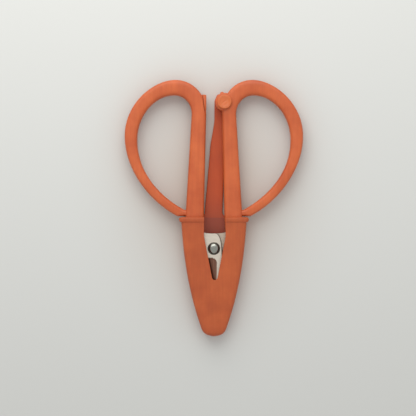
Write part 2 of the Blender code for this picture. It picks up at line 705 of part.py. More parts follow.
def strap_outline():
    """The strap with its wide foot and, at its top, the hook that opens towards the upper right."""
    foot_y = MOUTH_Y + SEAM
    flare_y = foot_y + 2.0 * STRAP_FLARE
    foot = STRAP_FOOT_WIDTH / 2.0
    half = STRAP_WIDTH / 2.0
    way = Vector((math.sin(HOOK_ANGLE), math.cos(HOOK_ANGLE)))
    side = Vector((way.y, -way.x))
    eye = Vector((BUTTON_X, BUTTON_Y))
    slot = BUTTON_SHANK_RADIUS + BUTTON_CLEARANCE
    rim = slot + STRAP_JAW
    turn = math.atan2(side.y, side.x)
    root_turn = turn - HOOK_ROOT
    root = (eye.x + rim * math.cos(root_turn), eye.y + rim * math.sin(root_turn))
    neck = (eye.x - rim, eye.y - 1.6 * rim)
    right_bend = (STRAP_BEND_X + half, STRAP_BEND_Y)
    left_bend = (STRAP_BEND_X - half, STRAP_BEND_Y)
    right_foot = STRAP_FOOT_X + foot
    left_foot = STRAP_FOOT_X - foot
    points = [(left_foot - STRAP_FLARE, foot_y)]
    points += bezier(
        (right_foot + STRAP_FLARE, foot_y), (right_foot + 0.2 * STRAP_FLARE, foot_y + 0.8 * STRAP_FLARE),
        (right_foot, flare_y - 0.8 * STRAP_FLARE), (right_foot, flare_y), 5,
    )
    points += [(right_foot, flare_y)]
    points += bezier(
        right_bend, (right_bend[0] + 0.1 * half, right_bend[1] + 1.4 * rim),
        (root[0] - 0.2 * half, root[1] - 1.2 * rim), root, 8,
    )
    points += arc(eye, rim, root_turn, turn, 6)
    short_tip = eye + way * SHORT_JAW
    points += [tuple(short_tip + side * rim), tuple(short_tip + side * slot)]
    points += arc(eye, slot, turn, turn - math.pi, 16)
    long_tip = eye + way * LONG_JAW
    points += [tuple(long_tip - side * slot)]
    points += arc(long_tip - side * (slot + STRAP_JAW / 2.0), STRAP_JAW / 2.0, turn, turn + math.pi, 8)[1:]
    points += arc(eye, rim, turn + math.pi, math.pi, 6)
    points += bezier(
        neck, (neck[0] - 0.05 * half, neck[1] - rim), (left_bend[0] + 0.1 * half, left_bend[1] + 1.2 * rim),
        left_bend, 8,
    )
    points += [left_bend]
    points += bezier(
        (left_foot, flare_y), (left_foot, flare_y - 0.8 * STRAP_FLARE),
        (left_foot - 0.2 * STRAP_FLARE, foot_y + 0.8 * STRAP_FLARE), (left_foot - STRAP_FLARE, foot_y), 5,
    )
    return points


def make_strap(parts, orange):
    """The strap that runs on from the sheath's back wall to the button."""
    strap = plate("sheath_strap", parts, [strap_outline()], 0.0, STRAP_THICKNESS)
    finish(strap, orange)
    return strap


def main():
    """Build the shears."""
    clear_scene()
    parts = collection("fabric_shears")
    cutters = collection("cutters")
    pivot = joint_axis("pivot_axis", parts, (0.0, PIVOT_Y, 0.0))
    slide = joint_axis("sheath_axis", parts, (0.0, MOUTH_Y, 0.0))

    hang(make_rivet(parts, material("rivet_steel")), pivot)
    hang(make_blade("front_blade", 1, parts, cutters, material("front_blade_steel")), pivot)
    hang(make_blade("rear_blade", -1, parts, cutters, material("rear_blade_steel")), pivot)
    hang(make_handle("left_handle", -1, parts, cutters, material("left_handle_plastic")), pivot)
    hang(make_handle("right_handle", 1, parts, cutters, material("right_handle_plastic")), pivot)
    hang(make_button(parts, material("button_plastic")), pivot)
    hang(make_sheath(parts, cutters, material("sheath_plastic")), slide)
    hang(make_strap(parts, material("strap_plastic")), slide)


main()
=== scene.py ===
"""The looks of the small fabric shears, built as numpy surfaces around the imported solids.

Every piece is a grid of points worked out as whole arrays: a band between two rails, a turned
profile, or a cup of rounded sections. Lengths in the classes are in metres, and MM names one
millimetre. +Y runs towards the finger loops, +X to the right, +Z out of the front face.
"""

from __future__ import annotations

import json
import logging
import math
from dataclasses import dataclass, field
from enum import Enum
from typing import Any, Callable

import bpy
import numpy as np
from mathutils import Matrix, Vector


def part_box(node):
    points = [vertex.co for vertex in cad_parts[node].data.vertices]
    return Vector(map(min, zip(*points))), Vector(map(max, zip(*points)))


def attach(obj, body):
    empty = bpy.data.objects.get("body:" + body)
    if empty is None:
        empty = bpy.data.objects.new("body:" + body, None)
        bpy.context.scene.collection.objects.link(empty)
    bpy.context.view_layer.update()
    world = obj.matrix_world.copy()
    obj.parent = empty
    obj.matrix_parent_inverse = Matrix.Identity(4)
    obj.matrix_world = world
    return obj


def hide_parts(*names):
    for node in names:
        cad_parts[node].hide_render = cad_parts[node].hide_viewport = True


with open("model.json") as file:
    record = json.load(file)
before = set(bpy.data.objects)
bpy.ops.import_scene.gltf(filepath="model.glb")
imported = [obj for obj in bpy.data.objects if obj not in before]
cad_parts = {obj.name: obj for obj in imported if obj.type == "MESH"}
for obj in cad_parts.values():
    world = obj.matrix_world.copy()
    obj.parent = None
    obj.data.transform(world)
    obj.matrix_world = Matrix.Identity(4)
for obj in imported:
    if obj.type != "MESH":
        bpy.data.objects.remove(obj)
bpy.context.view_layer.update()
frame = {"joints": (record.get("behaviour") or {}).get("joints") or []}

MM = 0.001
LOG = logging.getLogger("fabric_shears")
Array = np.ndarray


class Side(Enum):
    """Which half of the shears a piece belongs to; the value turns a distance into an X."""

    LEFT = -1.0
    RIGHT = 1.0


class Finish(Enum):
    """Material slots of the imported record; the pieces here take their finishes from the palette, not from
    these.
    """

    HANDLE = "handle_plastic"
    BUTTON = "button_plastic"
    SHEATH = "sheath_plastic"
    BLADE = "blade_steel"
    RIVET = "rivet_steel"


@dataclass(frozen=True)
class Layout:
    """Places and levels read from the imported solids."""

    pivot_y: float
    mid_level: float
    mouth_y: float
    tip_y: float
    crown_y: float
    reach: float
    handle_half: float
    front_face: float
    blade_tip_y: float
    blade_top: float
    blade_thickness: float
    tang_top: float
    strap_thickness: float
    button_x: float
    button_y: float
    button_top: float

    @classmethod
    def from_frame(cls) -> "Layout":
        """Read the layout.

        Returns:
            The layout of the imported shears.
        """
        joints = {joint["name"]: joint for joint in frame["joints"]}
        pivot = joints["left_swing"]["pos_m"]
        sheath_low, sheath_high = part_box("sheath")
        handle_low, handle_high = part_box("right_handle")
        blade_low, blade_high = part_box("front_blade")
        button_low, button_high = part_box("strap_button")
        strap_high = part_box("sheath_strap")[1]
        return cls(
            pivot_y=pivot[1], mid_level=pivot[2], mouth_y=sheath_high.y, tip_y=sheath_low.y,
            crown_y=handle_high.y, reach=handle_high.x, handle_half=(handle_high.z - handle_low.z) / 2.0,
            front_face=sheath_high.z, blade_tip_y=blade_low.y, blade_top=blade_high.z,
            blade_thickness=blade_high.z - blade_low.z, tang_top=blade_high.y,
            strap_thickness=strap_high.z, button_x=(button_low.x + button_high.x) / 2.0,
            button_y=(button_low.y + button_high.y) / 2.0, button_top=button_high.z,
        )


# --- curves and surfaces --------------------------------------------------------------------


def line(start: tuple[float, float], end: tuple[float, float], count: int) -> Array:
    """Evenly spaced points on a straight line, without its last point.

    Args:
        start: First point.
        end: Last point.
        count: Number of points.

    Returns:
        An array of shape (count, 2).
    """
    share = np.arange(count)[:, None] / count
    return np.asarray(start) * (1.0 - share) + np.asarray(end) * share


def cubic(points: tuple[tuple[float, float], ...], count: int) -> Array:
    """Points of a cubic Bezier curve, without its last point.

    The curve is the sum of its four control points, each weighted by its Bernstein polynomial.

    Args:
        points: The four control points.
        count: Number of points.

    Returns:
        An array of shape (count, 2).
    """
    t = np.arange(count)[:, None] / count
    s = 1.0 - t
    first, second, third, fourth = (np.asarray(point) for point in points)
    return s ** 3 * first + 3.0 * s * s * t * second + 3.0 * s * t * t * third + t ** 3 * fourth


def arc(centre: tuple[float, float], radius: float, start: float, end: float, count: int) -> Array:
    """Points of a circular arc, both ends included.

    Args:
        centre: Centre of the circle.
        radius: Radius.
        start: First angle in degrees.
        end: Last angle in degrees.
        count: Number of points.

    Returns:
        An array of shape (count, 2).
    """
    angle = np.radians(np.linspace(start, end, count))
    return np.asarray(centre) + radius * np.stack([np.cos(angle), np.sin(angle)], axis=1)


def rounding(distance: Array, radius: float) -> Array:
    """Height of a quarter-round edge as a share of its full height.

    The share is a circle's: it rises from 0 at the edge to 1 at one radius from it.

    Args:
        distance: Distances from the edge.
        radius: Radius of the edge.

    Returns:
        Shares between 0 and 1.
    """
    inside = np.clip(1.0 - distance / radius, 0.0, 1.0)
    return np.sqrt(np.clip(1.0 - inside * inside, 0.0, 1.0))


def sheet_of_quads(rows: int, columns: int, wrap: bool) -> Array:
    """Corner numbers of the quads of a grid of points.

    Args:
        rows: Number of rows of points.
        columns: Number of points in a row.
        wrap: Whether the last column meets the first.

    Returns:
        An array of shape (quads, 4).
    """
    across = columns if wrap else columns - 1
    row, column = np.meshgrid(np.arange(rows - 1), np.arange(across), indexing="ij")
    after = (column + 1) % columns
    quads = [row * columns + column, row * columns + after]
    quads += [(row + 1) * columns + after, (row + 1) * columns + column]
    return np.stack(quads, axis=-1).reshape(-1, 4)


def solid_from_rings(name: str, rings: Array, marks: dict[str, Array] | None = None) -> bpy.types.Object:
    """Close a stack of rings into one solid, with a pole at the middle of each end.

    Args:
        name: Name of the piece.
        rings: Points of shape (rings, points in a ring, 3).
        marks: Values to keep on the points, each of shape (rings, points in a ring).

    Returns:
        The new object, its faces pointing outwards.
    """
    rows, columns = rings.shape[:2]
    poles = np.stack([rings[0].mean(axis=0), rings[-1].mean(axis=0)])
    points = np.concatenate([rings.reshape(-1, 3), poles])
    body = sheet_of_quads(rows, columns, True)
    here = np.arange(columns)
    after = (here + 1) % columns
    first = np.stack([np.full(columns, rows * columns), after, here], axis=1)
    base = (rows - 1) * columns
    last = np.stack([np.full(columns, rows * columns + 1), base + here, base + after], axis=1)
    mesh = bpy.data.meshes.new(name)
    mesh.from_pydata(points.tolist(), [], body.tolist() + first.tolist() + last.tolist())
    mesh.validate()
    for label, values in (marks or {}).items():
        kept = mesh.attributes.new(label, "FLOAT", "POINT")
        flat = values.reshape(-1)
        ends = [values[0].mean(), values[-1].mean()]
        kept.data.foreach_set("value", np.concatenate([flat, ends]).astype(np.float32))
    piece = bpy.data.objects.new(name, mesh)
    bpy.context.scene.collection.objects.link(piece)
    if signed_volume(mesh) < 0.0:
        mesh.flip_normals()
    return piece


def signed_volume(mesh: bpy.types.Mesh) -> float:
    """Volume enclosed by a mesh, negative when it is inside out.

    The volume is the sum over triangles of the triple product of their corners, over six.

    Args:
        mesh: A closed mesh.

    Returns:
        The volume in cubic metres.
    """
    mesh.calc_loop_triangles()
    points = np.empty(len(mesh.vertices) * 3)
    mesh.vertices.foreach_get("co", points)
    corners = np.empty(len(mesh.loop_triangles) * 3, dtype=np.int64)
    mesh.loop_triangles.foreach_get("vertices", corners)
    a, b, c = points.reshape(-1, 3)[corners.reshape(-1, 3)].transpose(1, 0, 2)
    return float(np.einsum("ij,ij->i", a, np.cross(b, c)).sum() / 6.0)


def superellipse(power: Array, seam: float = 0.0) -> tuple[Array, Array]:
    """Unit sections between an ellipse and a rectangle, with a fine moulding seam at both sides.

    Across is the signed power 2/p of the cosine, and up is that of the sine. The seam adds a
    narrow bell-shaped ridge where the section crosses the middle level.

    Args:
        power: One exponent for each ring; 2 is an ellipse and more is squarer.
        seam: Height of the ridge as a share of the half width.

    Returns:
        The across and up values, each of shape (rings, points).
    """
    even = np.linspace(0.0, 2.0 * math.pi, 44, endpoint=False)
    close = np.array([0.0012, 0.004, 0.012, 0.03])
    near = np.concatenate([close, -close, math.pi + close, math.pi - close])
    angle = np.sort(np.concatenate([even, near]) % (2.0 * math.pi))
    bend = (2.0 / np.asarray(power))[:, None]
    cosine, sine = np.cos(angle)[None, :], np.sin(angle)[None, :]
    across = np.sign(cosine) * np.abs(cosine) ** bend
    up = np.sign(sine) * np.abs(sine) ** bend
    ridge = seam * np.exp(-(up / 0.035) ** 2)
    return across * (1.0 + ridge) / (1.0 + seam), up


def refine(stations: Array, start: float, end: float) -> Array:
    """Add closely spaced stations where the two ends of a band are rounded.

    Args:
        stations: Distances along the band.
        start: Length of the rounding at the start.
        end: Length of the rounding at the end.

    Returns:
        All distances, in order.
    """
    ramp = 1.0 - np.cos(np.linspace(0.0, math.pi / 2.0, 9))
    extra = [stations]
    if start > 0.0:
        extra.append(stations[0] + start * ramp)
    if end > 0.0:
        extra.append(stations[-1] - end * ramp)
    return np.unique(np.round(np.concatenate(extra), 9))


@dataclass(frozen=True)
class Band:
    """A solid carried between two rails in the XY plane.

    Each ring is centred between a point of one rail and its partner on the other, as wide as
    they are apart, and as thick as twice the half height.
    """

    one: Array
    two: Array
    level: float
    half_height: Array
    power: Array
    start_round: float = 0.0
    end_round: float = 0.0
    seam: float = 0.0

    def build(self, name: str) -> bpy.types.Object:
        """Build the band.

        Args:
            name: Name of the piece.

        Returns:
            The new object.
        """
        middle = (self.one + self.two) / 2.0
        step = np.linalg.norm(np.diff(middle, axis=0), axis=1)
        along = np.concatenate([[0.0], np.cumsum(step)])
        stations = refine(along, self.start_round, self.end_round)
        one = np.stack([np.interp(stations, along, self.one[:, axis]) for axis in (0, 1)], axis=1)
        two = np.stack([np.interp(stations, along, self.two[:, axis]) for axis in (0, 1)], axis=1)
        power = np.interp(stations, along, self.power)
        thick = np.interp(stations, along, np.broadcast_to(self.half_height, along.shape))
        share = np.ones(len(stations))
        if self.start_round > 0.0:
            share = share * np.clip(rounding(stations - stations[0], self.start_round), 0.02, 1.0)
        if self.end_round > 0.0:
            share = share * np.clip(rounding(stations[-1] - stations, self.end_round), 0.02, 1.0)
        across, up = superellipse(power, self.seam)
        half = (one - two) / 2.0
        width = np.linalg.norm(half, axis=1)
        trim = (1.0 - share) * np.minimum(width, thick)
        half = half * ((width - trim) / width)[:, None]
        tall = thick - trim
        centre = (one + two) / 2.0
        rings = np.empty(across.shape + (3,))
        rings[..., 0] = centre[:, None, 0] + half[:, None, 0] * across
        rings[..., 1] = centre[:, None, 1] + half[:, None, 1] * across
        rings[..., 2] = self.level + tall[:, None] * up
        return solid_from_rings(name, rings)


def turned(name: str, centre: tuple[float, float], profile: Array, dent: Any = None) -> bpy.types.Object:
    """A round piece turned about an upright axis.

    Each profile point (radius, level) is carried round the axis in even steps; the pieces' flat
    ends close at poles on the axis.

    Args:
        name: Name of the piece.
        centre: The axis in the XY plane.
        profile: Points of shape (n, 2), from one end to the other, off the axis.
        dent: Function of X and Y from the axis that lowers the points it is given.

    Returns:
        The new object.
    """
    angle = np.linspace(0.0, 2.0 * math.pi, 96, endpoint=False)
    rings = np.empty((len(profile), len(angle), 3))
    rings[..., 0] = profile[:, 0][:, None] * np.cos(angle)
    rings[..., 1] = profile[:, 0][:, None] * np.sin(angle)
    rings[..., 2] = profile[:, 1][:, None]
    if dent is not None:
        rings[..., 2] -= dent(rings[..., 0], rings[..., 1], rings[..., 2])
    rings[..., 0] += centre[0]
    rings[..., 1] += centre[1]
    return solid_from_rings(name, rings)


def unite(
    main: bpy.types.Object, others: list[bpy.types.Object], operation: str = "UNION",
) -> bpy.types.Object:
    """Join solids into one closed body, or cut them away, and remove the ones used.

    Args:
        main: The solid that is kept.
        others: The solids joined to it or cut from it.
        operation: UNION or DIFFERENCE.

    Returns:
        The main object with its new mesh.
    """
    for other in others:
        step = main.modifiers.new(other.name, "BOOLEAN")
        step.operation = operation
        step.solver = "EXACT"
        step.use_self = operation == "UNION"
        step.object = other
    bpy.context.view_layer.update()
    evaluated = main.evaluated_get(bpy.context.evaluated_depsgraph_get())
    mesh = bpy.data.meshes.new_from_object(evaluated)
    main.modifiers.clear()
    main.data = mesh
    for other in others:
        bpy.data.objects.remove(other, do_unlink=True)
    return main


def mark_points(piece: bpy.types.Object, label: str, rule: Callable[[Array, Array], Array]) -> None:
    """Keep a value on every point of a finished piece.

    Args:
        piece: The piece.
        label: Name of the attribute, which the materials read.
        rule: Function of the points' X and Y that gives their values.
    """
    mesh = piece.data
    points = np.empty(len(mesh.vertices) * 3)
    mesh.vertices.foreach_get("co", points)
    x, y, _ = points.reshape(-1, 3).T
    kept = mesh.attributes.new(label, "FLOAT", "POINT")
    kept.data.foreach_set("value", rule(x, y).astype(np.float32))


# --- finishes -------------------------------------------------------------------------------


def linear(code: str) -> tuple[float, float, float, float]:
    """Turn an sRGB hex colour into linear light.

    Args:
        code: Colour such as "#CC6942".

    Returns:
        Linear red, green and blue, with an alpha of 1.
    """
    raw = np.array([int(code[index:index + 2], 16) for index in (1, 3, 5)]) / 255.0
    light = np.where(raw <= 0.04045, raw / 12.92, ((raw + 0.055) / 1.055) ** 2.4)
    return (*(float(value) for value in light), 1.0)


def add_node(
    tree: bpy.types.NodeTree, kind: str, settings: dict[Any, Any], links: dict[Any, Any],
) -> bpy.types.Node:
    """Add a shader node with its settings and the links into it.

    Args:
        tree: The node tree.
        kind: Blender's node type.
        settings: Properties by name, or input values by socket name or number.
        links: Output sockets by the name or number of the input that each one feeds.

    Returns:
        The new node.
    """
    node = tree.nodes.new(kind)
    for label, value in settings.items():
        if isinstance(label, str) and hasattr(node, label):
            setattr(node, label, value)
        else:
            node.inputs[label].default_value = value
    for label, output in links.items():
        tree.links.new(output, node.inputs[label])
    return node


def blank(name: str) -> tuple[bpy.types.Material, bpy.types.NodeTree, bpy.types.Node, Any]:
    """Start a material.

    Args:
        name: Name of the material.

    Returns:
        The material, its tree, its Principled shader and its Object coordinates.
    """
    made = bpy.data.materials.new(name)
    made.use_nodes = True
    tree = made.node_tree
    shader = tree.nodes["Principled BSDF"]
    place = tree.nodes.new("ShaderNodeTexCoord").outputs["Object"]
    return made, tree, shader, place


@dataclass(frozen=True)
class MouldedPolypropylene:
    """Injection-moulded polypropylene.

    A soft satin skin from a lightly blasted mould: broad pale-to-deep mottling where the melt
    cooled unevenly, faint flow lines along the part, and a grain too fine to see one by one.
    """

    name: str
    body: str
    deep: str
    roughness: float = 0.42
    hollow: str = "#9A4630"         # painted shade inside a moulded cup, where little light gets
    mottle: float = 9.0 * MM        # width of the broad colour patches
    flow: float = 0.7 * MM          # spacing of the flow lines across the part
    grain: float = 0.28 * MM        # the real 0.05 mm grain, drawn coarser so that it shows
    grain_height: float = 0.012 * MM

    def material(self) -> bpy.types.Material:
        """Build the material.

        Returns:
            The finished material.
        """
        made, tree, shader, place = blank(self.name)
        patches = add_node(
            tree, "ShaderNodeTexNoise",
            {"Scale": 1.0 / self.mottle, "Detail": 3.0, "Roughness": 0.55}, {"Vector": place},
        )
        stretch = add_node(
            tree, "ShaderNodeMapping",
            {"Scale": (1.0 / self.flow, 0.05 / self.flow, 1.0 / self.flow)}, {"Vector": place},
        )
        lines = add_node(
            tree, "ShaderNodeTexNoise", {"Scale": 1.0, "Detail": 2.0}, {"Vector": stretch.outputs[0]},
        )
        both = add_node(
            tree, "ShaderNodeMath", {"operation": "MULTIPLY_ADD", 1: 0.35},
            {0: lines.outputs[0], 2: patches.outputs[0]},
        )
        spread = add_node(
            tree, "ShaderNodeMapRange", {"From Min": 0.45, "From Max": 0.92}, {"Value": both.outputs[0]},
        )
        colour = add_node(
            tree, "ShaderNodeMix",
            {"data_type": "RGBA", 6: linear(self.deep), 7: linear(self.body)}, {0: spread.outputs[0]},
        )
        # painted shade: where the inside share is set, the colour turns to the darker hollow colour
        inside = add_node(tree, "ShaderNodeAttribute", {"attribute_name": "inside"}, {}).outputs["Fac"]
        inside_shaded = add_node(
            tree, "ShaderNodeMix", {"data_type": "RGBA", 7: linear(self.hollow)},
            {0: inside, 6: colour.outputs[2]},
        )
        tree.links.new(inside_shaded.outputs[2], shader.inputs["Base Color"])
        fine = add_node(
            tree, "ShaderNodeTexNoise", {"Scale": 1.0 / self.grain, "Detail": 2.0}, {"Vector": place},
        )
        shine = add_node(
            tree, "ShaderNodeMapRange",
            {"From Min": 0.3, "From Max": 0.7,
             "To Min": self.roughness - 0.06, "To Max": self.roughness + 0.08},
            {"Value": both.outputs[0]},
        )
        tree.links.new(shine.outputs[0], shader.inputs["Roughness"])
        bump = add_node(
            tree, "ShaderNodeBump", {"Strength": 0.6, "Distance": self.grain_height},
            {"Height": fine.outputs[0]},
        )
        tree.links.new(bump.outputs[0], shader.inputs["Normal"])
        shader.inputs["IOR"].default_value = 1.49
        shader.inputs["Subsurface Weight"].default_value = 0.12
        shader.inputs["Subsurface Radius"].default_value = (1.0, 0.3, 0.12)
        shader.inputs["Subsurface Scale"].default_value = 1.2 * MM
        return made


@dataclass(frozen=True)
class StampedStainless:
    """Stamped stainless steel with ground bevels.

    The flat of the blade keeps the satin of the rolled sheet, a pale warm grey. The bevel is wheel-ground to
    a mirror with fine wheel lines along it; its brown colour is a painted reflection of the orange sheath
    round it.
    """

    name: str
    flat: str
    # painted reflection: the bevel's brown stands for the orange sheath mirrored in it
    ground: str
    outline_dark: str = "#4A3F38"           # colour of the darker band along the blade's outline
    flat_roughness: float = 0.36
    ground_roughness: float = 0.24
    rolling: float = 0.16 * MM      # spacing of the rolling lines
    wheel: float = 0.30 * MM        # wheel lines, drawn coarser than the real 0.05 mm

    def material(self) -> bpy.types.Material:
        """Build the material.

        Returns:
            The finished material.
        """
        made, tree, shader, place = blank(self.name)
        ground = add_node(tree, "ShaderNodeAttribute", {"attribute_name": "ground"}, {}).outputs["Fac"]
        along = add_node(
            tree, "ShaderNodeMapping",
            {"Scale": (1.0 / self.wheel, 0.03 / self.wheel, 1.0 / self.wheel)}, {"Vector": place},
        )
        lines = add_node(
            tree, "ShaderNodeTexNoise", {"Scale": 1.0, "Detail": 3.0, "Roughness": 0.65},
            {"Vector": along.outputs[0]},
        )
        rolled = add_node(
            tree, "ShaderNodeMapping",
            {"Scale": (0.08 / self.rolling, 1.0 / self.rolling, 1.0 / self.rolling)}, {"Vector": place},
        )
        satin = add_node(
            tree, "ShaderNodeTexNoise", {"Scale": 1.0, "Detail": 3.0}, {"Vector": rolled.outputs[0]},
        )
        ground_shade = add_node(
            tree, "ShaderNodeMapRange", {"From Min": 0.3, "From Max": 0.7, "To Min": 0.62, "To Max": 1.35},
            {"Value": lines.outputs[0]},
        )
        bevel_reflection_colour = add_node(
            tree, "ShaderNodeMix",
            {"data_type": "RGBA", "blend_type": "MULTIPLY", 0: 1.0, 6: linear(self.ground)},
            {7: ground_shade.outputs[0]},
        )
        flat_shade = add_node(
            tree, "ShaderNodeMapRange", {"From Min": 0.3, "From Max": 0.7, "To Min": 0.9, "To Max": 1.06},
            {"Value": satin.outputs[0]},
        )
        flat_colour = add_node(
            tree, "ShaderNodeMix",
            {"data_type": "RGBA", "blend_type": "MULTIPLY", 0: 1.0, 6: linear(self.flat)},
            {7: flat_shade.outputs[0]},
        )
        colour = add_node(
            tree, "ShaderNodeMix", {"data_type": "RGBA"},
            {0: ground, 6: flat_colour.outputs[2], 7: bevel_reflection_colour.outputs[2]},
        )
        # the rim share darkens a band along the blade's outline
        rim = add_node(tree, "ShaderNodeAttribute", {"attribute_name": "rim"}, {}).outputs["Fac"]
        outline_dark = add_node(
            tree, "ShaderNodeMix", {"data_type": "RGBA", 7: linear(self.outline_dark)},
            {0: rim, 6: colour.outputs[2]},
        )
        tree.links.new(outline_dark.outputs[2], shader.inputs["Base Color"])
        rough = add_node(
            tree, "ShaderNodeMapRange", {"To Min": self.flat_roughness, "To Max": self.ground_roughness},
            {"Value": ground},
        )
        tree.links.new(rough.outputs[0], shader.inputs["Roughness"])
        height = add_node(
            tree, "ShaderNodeMix", {"data_type": "FLOAT"},
            {0: ground, 2: satin.outputs[0], 3: lines.outputs[0]},
        )
        bump = add_node(
            tree, "ShaderNodeBump", {"Strength": 0.5, "Distance": 0.008 * MM}, {"Height": height.outputs[0]},
        )
        tree.links.new(bump.outputs[0], shader.inputs["Normal"])
        shader.inputs["Metallic"].default_value = 1.0
        return made


@dataclass(frozen=True)
class NickelRivet:
    """Nickel-plated mild steel rivet.

    Bright and slightly grey, with small tool marks on the crown and a painted dark ring, standing for
    reflection and shade, where the head meets the blade.
    """

    name: str
    bright: str
    dark_ring_colour: str
    roughness: float = 0.2
    marks: float = 0.5 * MM

    def material(self) -> bpy.types.Material:
        """Build the material.

        Returns:
            The finished material.
        """
        made, tree, shader, place = blank(self.name)
        # painted reflection and shade: the skirt share darkens the foot of the rivet's head
        skirt = add_node(tree, "ShaderNodeAttribute", {"attribute_name": "skirt"}, {}).outputs["Fac"]
        spots = add_node(
            tree, "ShaderNodeTexNoise", {"Scale": 1.0 / self.marks, "Detail": 4.0}, {"Vector": place},
        )
        colour = add_node(
            tree, "ShaderNodeMix", {"data_type": "RGBA", 6: linear(self.bright), 7: linear(self.dark_ring_colour)},
            {0: skirt},
        )
        tree.links.new(colour.outputs[2], shader.inputs["Base Color"])
        rough = add_node(
            tree, "ShaderNodeMapRange",
            {"From Min": 0.3, "From Max": 0.7,
             "To Min": self.roughness - 0.05, "To Max": self.roughness + 0.12},
            {"Value": spots.outputs[0]},
        )
        tree.links.new(rough.outputs[0], shader.inputs["Roughness"])
        bump = add_node(
            tree, "ShaderNodeBump", {"Strength": 0.4, "Distance": 0.02 * MM}, {"Height": spots.outputs[0]},
        )
        tree.links.new(bump.outputs[0], shader.inputs["Normal"])
        shader.inputs["Metallic"].default_value = 1.0
        return made


@dataclass(frozen=True)
class UncoatedPaper:
    """Uncoated paper under the shears.

    Matt and nearly white. Its colour is painted darker towards the near edge, a painted falloff away from
    the light, and a painted warm bounce and shade is laid round the plastic on it.
    """

    name: str = "uncoated_paper"
    # painted light falloff: near is the darker tone at the edge away from the window light, far the lit one
    near: str = "#C7C8C6"
    far: str = "#D5D6D4"
    # painted bounce and shade: a warm darker tint laid round the shears
    bounce_tint: str = "#E6D6CA"
    fade_half: float = 81.0 * MM            # distance from the middle at which the fade ends
    halo: tuple[float, float] = (60.0 * MM, 72.0 * MM)
    halo_shift: float = 0.1                 # of the halo's length, towards the loops
    roughness: float = 0.85

    def material(self) -> bpy.types.Material:
        """Build the material.

        Returns:
            The finished material.
        """
        made, tree, shader, place = blank(self.name)
        split = add_node(tree, "ShaderNodeSeparateXYZ", {}, {"Vector": place})
        # painted light falloff along Y, darker towards the near edge
        fade = add_node(
            tree, "ShaderNodeMapRange", {"From Min": -self.fade_half, "From Max": self.fade_half},
            {"Value": split.outputs["Y"]},
        )
        tone = add_node(
            tree, "ShaderNodeMix", {"data_type": "RGBA", 6: linear(self.near), 7: linear(self.far)},
            {0: fade.outputs[0]},
        )
        around = add_node(
            tree, "ShaderNodeMapping",
            {"Location": (0.0, -self.halo_shift, 0.0),
             "Scale": (1.0 / self.halo[0], 1.0 / self.halo[1], 1.0)}, {"Vector": place},
        )
        halo = add_node(
            tree, "ShaderNodeTexGradient", {"gradient_type": "QUADRATIC_SPHERE"},
            {"Vector": around.outputs[0]},
        )
        # painted warm bounce and shade round the shears
        warm = add_node(
            tree, "ShaderNodeMix",
            {"data_type": "RGBA", "blend_type": "MULTIPLY", 7: linear(self.bounce_tint)},
            {0: halo.outputs[1], 6: tone.outputs[2]},
        )
        tree.links.new(warm.outputs[2], shader.inputs["Base Color"])
        shader.inputs["Roughness"].default_value = self.roughness
        return made


@dataclass(frozen=True)
class Palette:
    """The finishes of the shears."""

    handle: MouldedPolypropylene = MouldedPolypropylene("handle_polypropylene", "#CC6432", "#B54F23")
    button: MouldedPolypropylene = MouldedPolypropylene("button_polypropylene", "#CE6C3A", "#C56230", 0.38)
    sheath: MouldedPolypropylene = MouldedPolypropylene("sheath_polypropylene", "#B95726", "#A4461B", 0.45)
    strap: MouldedPolypropylene = MouldedPolypropylene("strap_polypropylene", "#C25325", "#B7491E", 0.5)
    # painted reflection: the bevels' brown #7E5A4B stands for the orange sheath mirrored in them
    front: StampedStainless = StampedStainless("stamped_stainless", "#E0D6C8", "#7E5A4B")
    # the rear blade's steel, its flat drawn darker than the front blade's
    rear: StampedStainless = StampedStainless("stamped_stainless_inner", "#CDBDAC", "#7E5A4B")
    rivet: NickelRivet = NickelRivet("nickel_rivet", "#94968F", "#4B4740")


def settle(
    piece: bpy.types.Object, dress: bpy.types.Material, body: str, nodes: list[str],
) -> None:
    """Dress a finished piece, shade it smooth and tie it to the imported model.

    Args:
        piece: The finished piece.
        dress: Its material.
        body: The body that it rides on.
        nodes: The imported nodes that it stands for.
    """
    piece.data.materials.clear()
    piece.data.materials.append(dress)
    piece.data.shade_smooth()
    piece.data.set_sharp_from_angle(angle=math.radians(38.0))
    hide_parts(*nodes)
    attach(piece, body)
    LOG.info("%s: %d faces on %s", piece.name, len(piece.data.polygons), body)


# --- pieces ---------------------------------------------------------------------------------


